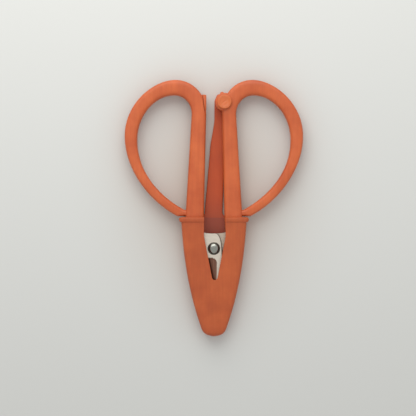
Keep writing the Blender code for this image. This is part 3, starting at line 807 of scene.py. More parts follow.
@dataclass
class SheathShape:
    """Outer shape of the sheath, which the handles' bases also follow."""

    layout: Layout
    half_width: float = 12.8 * MM
    tip_half_width: float = 5.1 * MM
    tip_round: float = 3.7 * MM
    wall: float = 1.2 * MM
    floor: float = 1.1 * MM
    edge: float = 1.7 * MM
    front_drop: float = 1.4 * MM
    bead_proud: float = 0.85 * MM
    bead_front: float = 0.3 * MM
    bead_length: float = 2.1 * MM
    crown: float = 0.35 * MM

    def outline(self, count: int) -> Array:
        """Right side of the plan outline, from the mouth to the tip.

        The side is one cubic curve from the mouth to the start of the rounded end, and the end
        is a second one that meets the centreline square.

        Args:
            count: Number of points on each curve.

        Returns:
            An array of (half width, Y), its last point on the centreline.
        """
        lay = self.layout
        end_y = lay.tip_y + self.tip_round
        length = lay.mouth_y - end_y
        spread = self.half_width - self.tip_half_width
        side = cubic((
            (self.half_width, lay.mouth_y),
            (self.half_width - 0.1 * spread, lay.mouth_y - 0.34 * length),
            (self.half_width - 0.33 * spread, lay.mouth_y - 0.65 * length),
            (self.tip_half_width, end_y),
        ), count)
        end = cubic((
            (self.tip_half_width, end_y),
            (0.88 * self.tip_half_width, end_y - 0.66 * self.tip_round),
            (0.56 * self.tip_half_width, lay.tip_y), (0.0, lay.tip_y),
        ), count)
        return np.concatenate([side, end, [[0.0, lay.tip_y]]])

    def half_at(self, height: float) -> float:
        """Outer half width at a height."""
        curve = self.outline(80)[::-1]
        return float(np.interp(height, curve[:, 1], curve[:, 0]))

    def front_at(self, heights: Array) -> Array:
        """Level of the front face, which falls evenly to the tip.

        Args:
            heights: Y of the places asked for.

        Returns:
            The level at each of them.
        """
        lay = self.layout
        share = (lay.mouth_y - heights) / (lay.mouth_y - lay.tip_y)
        top = lay.front_face - self.bead_front
        return top - share * self.front_drop


@dataclass
class Sheath:
    """The moulded blade cover: a flat-backed cup with a bead round its mouth and a notch."""

    layout: Layout
    shape: SheathShape
    notch_half: float = 4.2 * MM
    notch_straight: float = 7.6 * MM
    notch_length: float = 24.5 * MM
    notch_shift: float = 0.35 * MM
    notch_end: float = 1.1 * MM
    rim_round: float = 0.45 * MM

    def stations(self) -> tuple[Array, Array, Array, Array]:
        """Carry the wall's profile from the outer tip over the rim to the inner tip.

        Returns:
            Half widths, heights, insets from the outer face, and bead shares, one of each for
            every ring.
        """
        shape = self.shape
        lay = self.layout
        outer = shape.outline(46)[::-1]
        bead_y = np.linspace(lay.mouth_y - shape.bead_length, lay.mouth_y - 0.25 * MM, 16)
        outer = outer[outer[:, 1] < bead_y[0] - 0.1 * MM]
        rim_angle = np.linspace(0.0, math.pi, 11)[1:-1]
        rim_y = lay.mouth_y - 0.25 * MM + 0.25 * MM * np.sin(rim_angle)
        rim_inset = shape.wall * (1.0 - np.cos(rim_angle)) / 2.0
        inner_tip = lay.tip_y + shape.wall
        dive = 1.0 - np.cos(np.linspace(0.05, math.pi / 2.0, 60))
        inner_y = lay.mouth_y - (lay.mouth_y - inner_tip) * dive
        inner_y = inner_y[inner_y < lay.mouth_y - 0.3 * MM]
        inner_y = np.concatenate([[lay.mouth_y - 0.3 * MM], inner_y])
        heights = np.concatenate([outer[:, 1], bead_y, rim_y, inner_y])
        insets = np.concatenate([
            np.zeros(len(outer) + len(bead_y)), rim_inset, np.full(len(inner_y), shape.wall),
        ])
        middle = lay.mouth_y - shape.bead_length / 2.0
        away = (heights - middle) / (shape.bead_length / 2.0)
        bead = np.sqrt(np.clip(1.0 - away * away, 0.0, 1.0))
        bead[len(outer) + len(bead_y):] = 0.0
        halves = np.array([shape.half_at(height) for height in heights])
        return halves, heights, insets, bead

    def build(self) -> bpy.types.Object:
        """Build the sheath as one closed cup with the notch cut from its front.

        Each ring is a rectangle with round corners between the two sides and between the back
        and the front; towards the tip the rings also close in from the back and the front.

        Returns:
            The new object.
        """
        shape = self.shape
        halves, heights, insets, bead = self.stations()
        floor_share = shape.floor / shape.wall
        end = self.layout.tip_y + insets
        near = np.clip(1.0 - (heights - end) / shape.edge, 0.0, 1.0)
        closing = shape.edge * (1.0 - np.sqrt(np.clip(1.0 - near * near, 0.0, 1.0)))
        low = insets * floor_share + closing
        high = shape.front_at(heights) - insets * floor_share - closing + bead * shape.bead_front
        half = np.maximum(halves - insets, 0.02 * MM) + bead * shape.bead_proud
        inner_half = self.inner_halves(halves, heights)
        half = np.where(insets >= shape.wall, inner_half, half)
        corner = np.clip(shape.edge - insets * 0.75, 0.5 * MM, None)
        corner = np.minimum(corner, np.minimum(half * 0.98, (high - low) * 0.45))
        rings = self.rounded_boxes(half, low, high, corner, heights)
        # painted shade: the cup's inner faces get the inside share and are drawn in the darker hollow colour
        inside = np.broadcast_to((insets >= shape.wall)[:, None].astype(float), rings.shape[:2])
        sheath = solid_from_rings("sheath_shell", rings, {"inside": inside})
        return unite(sheath, [self.notch_block()], "DIFFERENCE")

    def inner_halves(self, halves: Array, heights: Array) -> Array:
        """Half widths of the hollow, closed at its own round tip.

        Args:
            halves: Outer half widths.
            heights: Y of each ring.

        Returns:
            The half width of the hollow at each ring.
        """
        shape = self.shape
        plain = halves - shape.wall
        depth = heights - (self.layout.tip_y + shape.wall)
        radius = shape.tip_half_width - shape.wall
        closing = rounding(np.clip(depth, 0.0, None), radius)
        tip = radius * closing + np.clip(depth - radius, 0.0, None)
        return np.maximum(np.minimum(plain, tip), 0.02 * MM)

    def rounded_boxes(self, half: Array, low: Array, high: Array, corner: Array, heights: Array) -> Array:
        """Rings of the sheath: rectangles with quarter-round corners and a faintly crowned front.

        Args:
            half: Half widths.
            low: Back levels.
            high: Front levels.
            corner: Corner radii.
            heights: Y of each ring.

        Returns:
            Points of shape (rings, points, 3).
        """
        quarter = np.linspace(0.0, math.pi / 2.0, 9)
        flat = np.linspace(-1.0, 1.0, 29)[1:-1]
        upright = np.linspace(-1.0, 1.0, 7)[1:-1]
        centre = half - corner
        columns_x: list[Array] = []
        columns_z: list[Array] = []
        crown = np.minimum(self.shape.crown, 0.08 * (high - low))
        top = high - corner - crown
        bottom = low + corner
        turns = ((1.0, 0.0), (-1.0, math.pi / 2.0), (-1.0, math.pi), (1.0, 1.5 * math.pi))
        for index, (sign, start) in enumerate(turns):
            level = top if index < 2 else bottom
            for angle in start + quarter:
                columns_x.append(sign * centre + corner * math.cos(angle))
                columns_z.append(level + corner * math.sin(angle))
            if index == 0:
                columns_x += [-share * centre for share in flat]
                columns_z += [high - crown * share ** 2 for share in flat]
            elif index == 1:
                columns_x += [-half for _ in upright]
                columns_z += [(top + bottom) / 2.0 - share * (top - bottom) / 2.0 for share in upright]
            elif index == 2:
                columns_x += [share * centre for share in flat]
                columns_z += [low for _ in flat]
            else:
                columns_x += [half for _ in upright]
                columns_z += [(top + bottom) / 2.0 + share * (top - bottom) / 2.0 for share in upright]
        rings = np.empty((len(half), len(columns_x), 3))
        rings[..., 0] = np.stack(columns_x, axis=1)
        rings[..., 1] = heights[:, None]
        rings[..., 2] = np.stack(columns_z, axis=1)
        return rings

    def notch_block(self) -> bpy.types.Object:
        """Upright block of the notch's outline: straight sides, then closing to a round end.

        Returns:
            The block that is cut from the front wall.
        """
        lay = self.layout
        end_y = lay.mouth_y - self.notch_length + self.notch_end
        drop = lay.mouth_y - self.notch_straight - end_y
        slope = math.degrees(math.atan2(self.notch_half - self.notch_end, drop))
        shift = self.notch_shift
        end = arc((shift, end_y), self.notch_end, 180.0 + slope, 360.0 - slope, 17)
        left = np.array([
            (shift - self.notch_half - 0.25 * MM, lay.mouth_y + 1.0 * MM),
            (shift - self.notch_half, lay.mouth_y - 0.9 * MM),
            (shift - self.notch_half, lay.mouth_y - self.notch_straight),
        ])
        right = left[::-1] * np.array([-1.0, 1.0]) + np.array([2.0 * shift, 0.0])
        outline = np.concatenate([left, end, right])
        rings = np.empty((2, len(outline), 3))
        rings[..., :2] = outline
        rings[0, :, 2] = lay.mid_level
        rings[1, :, 2] = lay.front_face + 2.0 * MM
        return solid_from_rings("notch_block", rings)


@dataclass
class Strap:
    """The strap from the sheath's back wall to the open hook round the button's shank."""

    layout: Layout
    width: float = 5.6 * MM
    bend: tuple[float, float] = (1.3 * MM, 22.5 * MM)
    foot_x: float = -0.1 * MM
    foot_width: float = 6.9 * MM
    flare: float = 0.9 * MM
    jaw: float = 2.15 * MM
    shank: float = 1.7 * MM
    hook_angle: float = 25.0
    long_jaw: float = 1.2 * MM
    short_jaw: float = 0.8 * MM
    shelter_top: float = 9.0 * MM   # where the shade of the mouth starts
    mouth_shade_share: float = 0.55            # how much painted shade, in the cup's darker inner colour, lies on the strap at the mouth
    clearance: float = 0.3 * MM     # from the mouth to the straight foot
    root: float = 1.8 * MM          # length of the straight foot

    def rail(self, sign: float, top: list[Array]) -> Array:
        """One edge of the strap, from inside the sheath's back wall up to its bend.

        Args:
            sign: 1 for the right edge and -1 for the left one.
            top: The rest of the edge, above the bend.

        Returns:
            The edge's points.
        """
        foot_y = self.layout.mouth_y + self.clearance
        flare_y = foot_y + 2.0 * self.flare
        plain = self.foot_x + sign * self.foot_width / 2.0
        wide = plain + sign * self.flare
        bend = (self.bend[0] + sign * self.width / 2.0, self.bend[1])
        return np.concatenate([
            line((wide, foot_y - self.root), (wide, foot_y), 4),
            cubic(((wide, foot_y), (plain + sign * 0.2 * self.flare, foot_y + 0.8 * self.flare),
                   (plain, flare_y - 0.8 * self.flare), (plain, flare_y)), 14),
            line((plain, flare_y), bend, 40), *top,
        ])

    def build(self) -> bpy.types.Object:
        """Build the strap and its hook and join them.

        Returns:
            The new object.
        """
        eye = (self.layout.button_x, self.layout.button_y)
        half = self.width / 2.0
        rim = self.shank + self.jaw
        root_turn = math.radians(-self.hook_angle - 28.0)
        root = (eye[0] + rim * math.cos(root_turn), eye[1] + rim * math.sin(root_turn))
        neck = (eye[0] - rim, eye[1] - 1.6 * rim)
        right_bend = (self.bend[0] + half, self.bend[1])
        left_bend = (self.bend[0] - half, self.bend[1])
        before_root = (root[0] - 0.07 * half, root[1] - 0.4 * rim)
        right = self.rail(1.0, [
            cubic((right_bend, (right_bend[0] + 0.1 * half, right_bend[1] + 1.4 * rim),
                   (before_root[0] - 0.13 * half, root[1] - 1.2 * rim), before_root), 30),
            line(before_root, root, 12), [root],
        ])
        shoulder = (eye[0] - rim, eye[1] - 0.15 * rim)
        left = self.rail(-1.0, [
            cubic((left_bend, (left_bend[0] + 0.1 * half, left_bend[1] + 1.2 * rim),
                   (neck[0] - 0.05 * half, neck[1] - rim), neck), 30),
            line(neck, shoulder, 12), [shoulder],
        ])
        level = self.layout.strap_thickness / 2.0
        band = Band(right, left, level, level, np.full(len(right), 7.0)).build("sheath_strap_band")
        strap = unite(band, [self.hook(eye, level)])
        # painted shade: the strap darkens where it runs into the sheath's mouth
        mark_points(strap, "inside", self.painted_mouth_shade)
        return strap

    def painted_mouth_shade(self, x: Array, y: Array) -> Array:
        """Share of painted shade, in the cup's darker inner colour: none up the strap, most where it enters
        the mouth.

        Args:
            x: X of the points, which the shade doesn't depend on.
            y: Y of the points.

        Returns:
            Shares between 0 and 1.
        """
        share = np.clip((self.shelter_top - y) / (self.shelter_top - self.layout.mouth_y), 0.0, 1.0)
        return self.mouth_shade_share * share * share

    def hook(self, eye: tuple[float, float], level: float) -> bpy.types.Object:
        """The hook: an arc round the shank that runs out into a short and a long round-ended jaw.

        Args:
            eye: Middle of the button's shank.
            level: Half the strap's thickness.

        Returns:
            The new object.
        """
        lean = math.radians(self.hook_angle)
        way = np.array([math.sin(lean), math.cos(lean)])
        side = np.array([way[1], -way[0]])
        centre = np.asarray(eye)
        half = self.jaw / 2.0
        middle = self.shank + half
        turn = np.radians(np.linspace(-self.hook_angle, -self.hook_angle - 180.0, 60))
        ring = np.stack([np.cos(turn), np.sin(turn)], axis=1)
        closing = np.linspace(0.0, 1.5, 14)
        short = np.linspace(self.short_jaw, 0.0, 6)[:-1, None] * way
        long = np.linspace(0.0, self.long_jaw, 14)[1:, None] * way
        end = (self.long_jaw + half * np.sin(closing[1:]))[:, None] * way
        paths = np.concatenate([
            centre + side * middle + short, centre + ring * middle,
            centre - side * middle + long, centre - side * middle + end,
        ])
        outward = np.concatenate([
            np.broadcast_to(side, short.shape), ring,
            np.broadcast_to(-side, long.shape), -side * np.cos(closing[1:])[:, None],
        ])
        power = np.full(len(paths), 6.0)
        thick = level - 0.01 * MM
        return Band(
            paths - outward * half, paths + outward * half, level, thick, power, 0.3 * MM,
        ).build("strap_hook")


@dataclass
class Handle:
    """A handle: base, bar and finger loop in one moulding."""

    layout: Layout
    shape: SheathShape
    side: Side
    name: str
    band_top: float = 6.1 * MM
    band_side: float = 5.0 * MM
    band_foot: float = 3.0 * MM
    inset_top: float = 3.15 * MM
    inset_mouth: float = 4.1 * MM
    width_top: float = 5.55 * MM
    width_mouth: float = 7.1 * MM
    bar_top: float = 37.0 * MM
    side_y: float = 28.0 * MM
    crown_x: float = 15.0 * MM
    base_depth: float = 7.6 * MM
    clearance: float = 1.6 * MM
    lug_radius: float = 3.55 * MM
    gate_angle: float = 106.0
    gate_radius: float = 0.85 * MM
    gate_sunk: float = 0.25 * MM
    gate_lift: float = 0.35 * MM
    gate_half: float = 1.75 * MM
    lug_rim: float = 0.6 * MM
    lug_sunk: float = 0.04 * MM
    pad_rise: float = 1.0 * MM
    pad_length: float = 6.2 * MM
    pad_inner: float = -0.05 * MM
    pad_outer: float = 2.2 * MM
    pad_half: float = 2.1 * MM
    pad_round: float = 0.35 * MM
    groove_rise: float = 0.6 * MM
    groove_length: float = 7.0 * MM
    groove_depth: float = 1.1 * MM
    arm_dive: float = 0.62 * MM     # how far the arm's face drops where it meets the bar
    root_round: float = 1.2 * MM
    seam: float = 0.012

    def rails(self) -> tuple[Array, Array, Array]:
        """Outer and inner rails of the moulding, and how square its section is along them.

        Both rails run up the bar, over the crown, down the side and in along the lower arm, in
        the same number of steps on each stretch.

        Returns:
            The outer rail, the rail along the finger hole, and the section exponents.
        """
        lay = self.layout
        base_y = lay.mouth_y - self.base_depth
        seat = lay.mouth_y + 0.3 * MM
        reach = lay.reach
        span = reach - self.crown_x
        rise = self.side_y - seat
        foot = (self.shape.half_width + self.shape.bead_proud + 0.7 * MM, seat)
        crown = (self.crown_x, lay.crown_y)
        side = (reach, self.side_y)
        stop = self.inset_mouth + 0.5 * self.width_mouth
        outer = [
            line((self.inset_mouth + 0.6 * MM, base_y), (self.inset_mouth, lay.mouth_y), 24),
            line((self.inset_mouth, lay.mouth_y), (self.inset_top, self.bar_top), 110),
            cubic(((self.inset_top, self.bar_top), (self.inset_top, self.bar_top + 8.2 * MM),
                   (crown[0] - 6.2 * MM, crown[1]), crown), 64),
            cubic((crown, (crown[0] + 0.43 * span, crown[1]),
                   (reach, self.side_y + 0.59 * (crown[1] - self.side_y)), side), 72),
            cubic((side, (reach, self.side_y - 0.39 * rise),
                   (foot[0] + 0.6 * span, foot[1] + 0.205 * rise), foot), 96),
            line(foot, (stop, foot[1] + 0.1 * MM), 16),
            [(stop, foot[1] + 0.1 * MM)],
        ]
        hole_top = self.inset_top + self.width_top
        hole_foot = self.inset_mouth + self.width_mouth
        inner_reach = reach - self.band_side
        inner_y = lay.crown_y - self.band_top
        inner_side = (inner_reach, self.side_y - 1.5 * MM)
        inner_crown = (self.crown_x + 0.5 * MM, inner_y)
        corner = (hole_foot + 0.35 * MM, lay.mouth_y + self.band_foot - 0.2 * MM)
        inner_rise = inner_side[1] - corner[1]
        inner = [
            line((self.shape.half_at(base_y) - self.clearance, base_y),
                 (self.shape.half_at(lay.mouth_y) - self.clearance, lay.mouth_y), 24),
            line((hole_foot - 0.1 * MM, lay.mouth_y), (hole_top, self.bar_top - 0.5 * MM), 110),
            cubic(((hole_top, self.bar_top - 0.5 * MM), (hole_top, self.bar_top + 3.8 * MM),
                   (inner_crown[0] - 3.9 * MM, inner_y), inner_crown), 64),
            cubic((inner_crown, (inner_crown[0] + 7.4 * MM, inner_y),
                   (inner_reach, inner_side[1] + 9.8 * MM), inner_side), 72),
            cubic((inner_side, (inner_reach, inner_side[1] - 0.44 * inner_rise),
                   (corner[0] + 0.57 * (inner_reach - corner[0]), corner[1] + 0.21 * inner_rise),
                   corner), 96),
            line(corner, (stop, corner[1] - 0.5 * MM), 16),
            [(stop, corner[1] - 0.5 * MM)],
        ]
        power = np.concatenate([
            np.full(24, 4.8), np.linspace(4.8, 4.0, 40), np.full(70, 4.0), np.linspace(4.0, 3.6, 64),
            np.full(72 + 96 + 17, 3.6),
        ])
        return np.concatenate(outer), np.concatenate(inner), power

    def place(self, rail: Array) -> Array:
        """Put a rail on this handle's side of the centreline."""
        return rail * np.array([self.side.value, 1.0])

    def thickness(self, count: int) -> Array:
        """Half height along the moulding: even, then falling so that the arm dives into the bar.

        The fall is a smooth step over 22 of the last 38 places.

        Args:
            count: Number of places along the rails.

        Returns:
            The half height at each place.
        """
        sink = np.clip((np.arange(count) - (count - 38)) / 22.0, 0.0, 1.0)
        return self.layout.handle_half - self.arm_dive * sink * sink * (3.0 - 2.0 * sink)

    def lug(self) -> bpy.types.Object:
        """The round lug that carries the button, flat in front with softly rounded rims.

        Returns:
            The new object.
        """
        lay = self.layout
        rim = self.lug_rim
        turn = np.linspace(0.0, math.pi / 2.0, 7)
        flat = np.linspace(0.05 * MM, self.lug_radius - rim, 8)[:-1]
        top = lay.handle_half - self.lug_sunk
        radius = np.concatenate([flat, self.lug_radius - rim + rim * np.sin(turn)])
        level = np.concatenate([np.full(7, top), top - rim + rim * np.cos(turn)])
        radius = np.concatenate([radius, radius[::-1]])
        level = np.concatenate([level, -level[::-1]]) + lay.mid_level
        return turned("button_lug", (lay.button_x, lay.button_y), np.stack([radius, level], axis=1))

    def nub(self) -> bpy.types.Object:
        """The trimmed gate on the lug's rim, a small round stub at its upper left.

        Returns:
            The new object.
        """
        lay = self.layout
        turn = math.radians(self.gate_angle)
        away = self.lug_radius - self.gate_sunk
        centre = (lay.button_x + away * math.cos(turn), lay.button_y + away * math.sin(turn))
        round_off = np.linspace(0.04, math.pi - 0.04, 15)
        radius = self.gate_radius * np.sin(round_off) ** 0.5
        level = lay.mid_level + self.gate_lift + self.gate_half * np.cos(round_off)
        return turned("gate_stub", centre, np.stack([radius, level], axis=1))

    def pad(self) -> bpy.types.Object:
        """The thin upright stop pad on the left handle, across from the lug.

        Returns:
            The new object.
        """
        low = self.bar_top + self.pad_rise
        high = low + self.pad_length
        outer_x = self.inset_top + self.pad_outer
        inner_x = self.inset_top + self.pad_inner
        one = self.place(np.array([(outer_x, low), (outer_x, high)]))
        two = self.place(np.array([(inner_x, low), (inner_x, high)]))
        return Band(
            one, two, self.layout.mid_level, self.pad_half, np.array([6.0, 6.0]),
            self.pad_round, self.pad_round,
        ).build("stop_pad")

    def build(self) -> bpy.types.Object:
        """Build the handle, with its lug or with its pad and groove.

        Returns:
            The new object.
        """
        outer, inner, power = self.rails()
        main = Band(
            self.place(outer), self.place(inner), self.layout.mid_level, self.thickness(len(outer)),
            power, self.root_round, 0.0, self.seam,
        ).build(self.name)
        if self.side is Side.RIGHT:
            return unite(main, [self.lug(), self.nub()])
        unite(main, [self.pad()])
        return unite(main, [self.groove()], "DIFFERENCE")

    def groove(self) -> bpy.types.Object:
        """The narrow groove between the loop's band and the stop pad.

        Returns:
            The sliver that is cut away.
        """
        low = self.bar_top + self.groove_rise
        high = low + self.groove_length
        one = self.place(np.array([(self.inset_top + 0.75 * MM, low), (self.inset_top + 1.75 * MM, high)]))
        two = self.place(np.array([(self.inset_top + 0.5 * MM, low), (self.inset_top + 1.4 * MM, high)]))
        top = self.layout.mid_level + self.layout.handle_half
        return Band(one, two, top, self.groove_depth, np.array([5.0, 5.0])).build("pad_groove")


@dataclass
class Button:
    """The headed stud pushed into the lug."""

    layout: Layout
    radius: float = 2.75 * MM
    height: float = 1.1 * MM
    shank: float = 1.4 * MM
    dish: float = 0.2 * MM
    rim: float = 0.38 * MM
    bevel: float = 0.12 * MM
    foot: float = 0.2 * MM
    mark_angle: float = 40.0
    mark_width: float = 0.28 * MM
    mark_length: float = 1.1 * MM
    mark_depth: float = 0.12 * MM

    def mark(self, across: Array, along: Array, level: Array) -> Array:
        """Depth of the moulding mark: a short shallow groove across the dished face.

        Args:
            across: X from the axis.
            along: Y from the axis.
            level: Z of the points; only the face is marked.

        Returns:
            How far each point is lowered.
        """
        lean = math.radians(self.mark_angle)
        beside = across * math.sin(lean) - along * math.cos(lean)
        length = across * math.cos(lean) + along * math.sin(lean)
        groove = np.exp(-(beside / self.mark_width) ** 2) * np.exp(-(length / self.mark_length) ** 4)
        return self.mark_depth * groove * (level > self.layout.button_top - 0.5 * MM)

    def build(self) -> bpy.types.Object:
        """Build the stud from its profile: dished face, rolled rim, straight side and shank.

        Returns:
            The new object.
        """
        lay = self.layout
        crest = lay.button_top
        under = crest - self.height
        rim = self.rim
        turn = np.linspace(-math.pi / 3.0, math.pi / 2.0, 12)
        face = np.linspace(0.03 * MM, self.radius - 2.0 * rim, 22)
        shape = (face / face[-1]) ** 4
        radius = np.concatenate([
            face, self.radius - rim + rim * np.sin(turn[::-1]), [self.radius, self.radius - self.bevel],
            [self.shank, self.shank, self.shank - 0.25 * MM, 0.05 * MM],
        ])
        level = np.concatenate([
            crest - self.dish * (1.0 - shape), crest - rim + rim * np.cos(turn[::-1]),
            [under + self.bevel, under], [under, self.foot + 0.25 * MM, self.foot, self.foot],
        ])
        profile = np.stack([radius, level], axis=1)
        return turned("button_stud", (lay.button_x, lay.button_y), profile, self.mark)


@dataclass
class Rivet:
    """The pivot: a domed head on a thin skirt in front and a peened tail behind."""

    layout: Layout
    skirt: float = 2.45 * MM
    dome: float = 2.0 * MM
    shank: float = 1.45 * MM
    skirt_height: float = 0.28 * MM
    tail: float = 2.2 * MM
    play: float = 0.1 * MM
    hammer: float = 0.07 * MM
    dark_ring_lap: float = 0.22 * MM    # how far the painted dark ring climbs onto the dome
    dark_ring_fade: float = 0.3 * MM
    low: float = field(init=False)
    high: float = field(init=False)

    def __post_init__(self) -> None:
        """Read the rivet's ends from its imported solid."""
        box_low, box_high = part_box("pivot_rivet")
        self.low = box_low.z
        self.high = box_high.z

    def build(self) -> bpy.types.Object:
        """Build the rivet from its profile: dome, skirt, shank and a tail of shallow facets.

        Returns:
            The new object.
        """
        lay = self.layout
        seat = lay.blade_top + self.play
        back = 2.0 * lay.mid_level - seat
        angle = np.linspace(0.02, math.pi / 2.0, 26)
        rise = self.high - seat - self.skirt_height
        dome = np.stack([self.dome * np.sin(angle), seat + self.skirt_height + rise * np.cos(angle)], axis=1)
        skirt = np.array([
            (self.dome + 0.03 * MM, seat + self.skirt_height - 0.05 * MM),
            (self.skirt - 0.12 * MM, seat + self.skirt_height - 0.06 * MM),
            (self.skirt - 0.03 * MM, seat + self.skirt_height - 0.12 * MM),
            (self.skirt, seat + 0.1 * MM), (self.skirt, seat), (self.shank, seat), (self.shank, back),
        ])
        fall = back - self.low
        turn = np.linspace(0.0, math.pi / 2.0 - 0.02, 18)
        tail = np.stack([self.tail * np.cos(turn), back - fall * np.sin(turn)], axis=1)
        profile = np.concatenate([dome, skirt, tail])
        rivet = turned("rivet_shank_and_heads", (0.0, lay.pivot_y), profile, self.peening)
        # painted reflection and shade: a dark ring round the foot of the dome
        mark_points(rivet, "skirt", self.painted_dark_ring)
        return rivet

    def peening(self, across: Array, along: Array, level: Array) -> Array:
        """Hammer facets on the tail: three shallow waves round it, strongest off its middle.

        Args:
            across: X from the axis.
            along: Y from the axis.
            level: Z of the points; only the tail is hammered.

        Returns:
            How far each point is lowered.
        """
        away = np.hypot(across, along) / self.tail
        turn = np.arctan2(along, across)
        wave = np.sin(3.0 * turn + 0.7) * np.sin(math.pi * np.clip(away, 0.0, 1.0))
        return -self.hammer * np.abs(wave) * (level < self.layout.mid_level - 1.3 * MM)

    def painted_dark_ring(self, x: Array, y: Array) -> Array:
        """Share of the painted dark ring, a painted reflection and shade: none on the dome, rising to full
        on the skirt.

        Args:
            x: X of the points.
            y: Y of the points.

        Returns:
            Shares between 0 and 1.
        """
        away = np.hypot(x, y - self.layout.pivot_y)
        return np.clip((away - self.dome + self.dark_ring_lap) / self.dark_ring_fade, 0.0, 1.0)


@dataclass
class Blade:
    """One blade with its tang: flat inside, its outer face ground down to the edge."""

    layout: Layout
    side: Side
    name: str
    spine: float = 3.4 * MM
    heel: float = 4.6 * MM
    overlap: float = 0.5 * MM
    tip_half: float = 0.7 * MM
    crotch_rise: float = 5.9 * MM
    tang_width: float = 3.6 * MM
    edge: float = 0.14 * MM
    rollover: float = 0.16 * MM     # the stamped outline's soft edge
    rim: float = 0.42 * MM          # width of the darker band along the outline
    grind_top: float = 3.55 * MM    # below the pivot
    grind_line: float = 1.25 * MM
    grind_slope: float = 0.13
    plunge_slope: float = 0.7
    plunge_round: float = 2.3 * MM
    tang_x: float = -6.7 * MM       # middle of the tang at its top
    tang_foot_x: float = -7.8 * MM  # and where it starts to widen
    tang_rise: float = 2.6 * MM     # height of that place above the crotch
    heel_drop: float = 5.0 * MM

    def rails(self) -> tuple[Array, Array]:
        """The edge side and the spine side of the blade, from the tang's top to the tip.

        Returns:
            Two rails with the same number of points, for the blade whose tang is on the left.
        """
        lay = self.layout
        crotch = lay.pivot_y + self.crotch_rise
        heel_y = lay.pivot_y - self.heel_drop
        length = lay.pivot_y - lay.blade_tip_y
        top = self.tang_x
        foot = self.tang_foot_x
        tang_foot = crotch + self.tang_rise
        half = self.tang_width / 2.0
        tip = lay.blade_tip_y
        edge_rail = [
            line((top - half, lay.tang_top), (foot - half, tang_foot), 30),
            cubic(((foot - half, tang_foot), (foot - half, crotch - 1.5 * MM),
                   (-self.heel, lay.pivot_y + 1.0 * MM), (-self.heel, heel_y)), 90),
            line((-self.heel, heel_y), (-self.overlap - 0.1 * MM, tip + self.tip_half), 130),
            cubic(((-self.overlap - 0.1 * MM, tip + self.tip_half), (-self.overlap, tip + 0.2 * MM),
                   (-0.3 * MM, tip), (0.0, tip)), 12),
            [(0.0, tip)],
        ]
        spine_rail = [
            line((top + half, lay.tang_top), (foot + half, tang_foot), 30),
            cubic(((foot + half, tang_foot), (foot + half, crotch),
                   (-2.6 * MM, crotch), (0.6 * MM, crotch)), 40),
            cubic(((0.6 * MM, crotch), (0.7 * self.spine, crotch),
                   (self.spine, lay.pivot_y + 0.6 * self.crotch_rise),
                   (self.spine, lay.pivot_y - 0.2 * length)), 50),
            cubic(((self.spine, lay.pivot_y - 0.2 * length), (self.spine, tip + 0.6 * length),
                   (0.75 * self.spine, tip + 0.35 * length), (self.tip_half, tip + 0.9 * MM)), 130),
            cubic(((self.tip_half, tip + 0.9 * MM), (self.tip_half - 0.2 * MM, tip + 0.3 * MM),
                   (0.25 * MM, tip), (0.02 * MM, tip)), 12),
            [(0.02 * MM, tip)],
        ]
        return np.concatenate(edge_rail), np.concatenate(spine_rail)

    def grind(self, x: Array, y: Array) -> Array:
        """Depth of the grind at a point.

        The depth is the lesser of two slopes, one across from the grind line and one down from
        the plunge, with the corner between them rounded.

        Args:
            x: X of the points.
            y: Y of the points.

        Returns:
            Depths below the flat of the blade, zero off the bevel.
        """
        lay = self.layout
        length = lay.pivot_y - lay.blade_tip_y
        fall = np.clip((lay.pivot_y - self.grind_top - y) / (length - self.grind_top), 0.0, 1.0)
        beside = self.grind_line * (1.0 - 0.55 * fall ** 2) - x
        below = lay.pivot_y - self.grind_top - y
        radius = self.plunge_round
        corner_x = np.clip(radius - beside, 0.0, None)
        corner_y = np.clip(radius - below, 0.0, None)
        inside = radius - np.hypot(corner_x, corner_y)
        hollow = 0.1 * MM * np.sin(np.clip(beside / (5.0 * MM), 0.0, 1.0) * math.pi)
        depth = np.minimum(self.grind_slope * np.clip(beside, 0.0, None) + hollow,
                           self.plunge_slope * np.clip(inside, 0.0, None))
        return np.clip(depth, 0.0, lay.blade_thickness - self.edge)

    def build(self) -> bpy.types.Object:
        """Build the blade from rings that run across its outer face and back across its inner one.

        Returns:
            The new object.
        """
        lay = self.layout
        one, two = self.rails()
        share = (1.0 - np.cos(np.linspace(0.0, math.pi, 46))) / 2.0
        share = 0.55 * share + 0.45 * np.linspace(0.0, 1.0, 46)
        x = one[:, 0][:, None] * (1.0 - share) + two[:, 0][:, None] * share
        y = one[:, 1][:, None] * (1.0 - share) + two[:, 1][:, None] * share
        depth = self.grind(x, y)
        wide = np.linalg.norm(two - one, axis=1)[:, None]
        from_edge = np.minimum(share, 1.0 - share) * wide
        rolled = self.rollover * np.clip(1.0 - from_edge / (2.0 * self.rollover), 0.0, 1.0) ** 2
        depth = np.maximum(depth, rolled)
        outer = np.stack([x, y, lay.blade_thickness - depth], axis=2)
        inner = np.stack([x, y, np.zeros_like(x)], axis=2)[:, ::-1]
        ground = np.clip(self.grind(x, y) / (0.035 * MM), 0.0, 1.0)
        marks = np.concatenate([ground, np.zeros_like(ground)], axis=1)
        rim = np.clip(1.0 - from_edge / self.rim, 0.0, 1.0)
        rims = np.concatenate([rim, rim], axis=1)
        rings = np.concatenate([outer, inner], axis=1)
        rings[..., 2] += lay.blade_top - lay.blade_thickness
        if self.side is Side.RIGHT:
            rings[..., 0] *= -1.0
            rings[..., 2] = 2.0 * lay.mid_level - rings[..., 2]
        return solid_from_rings(self.name, rings, {"ground": marks, "rim": rims})


# --- the studio -----------------------------------------------------------------------------


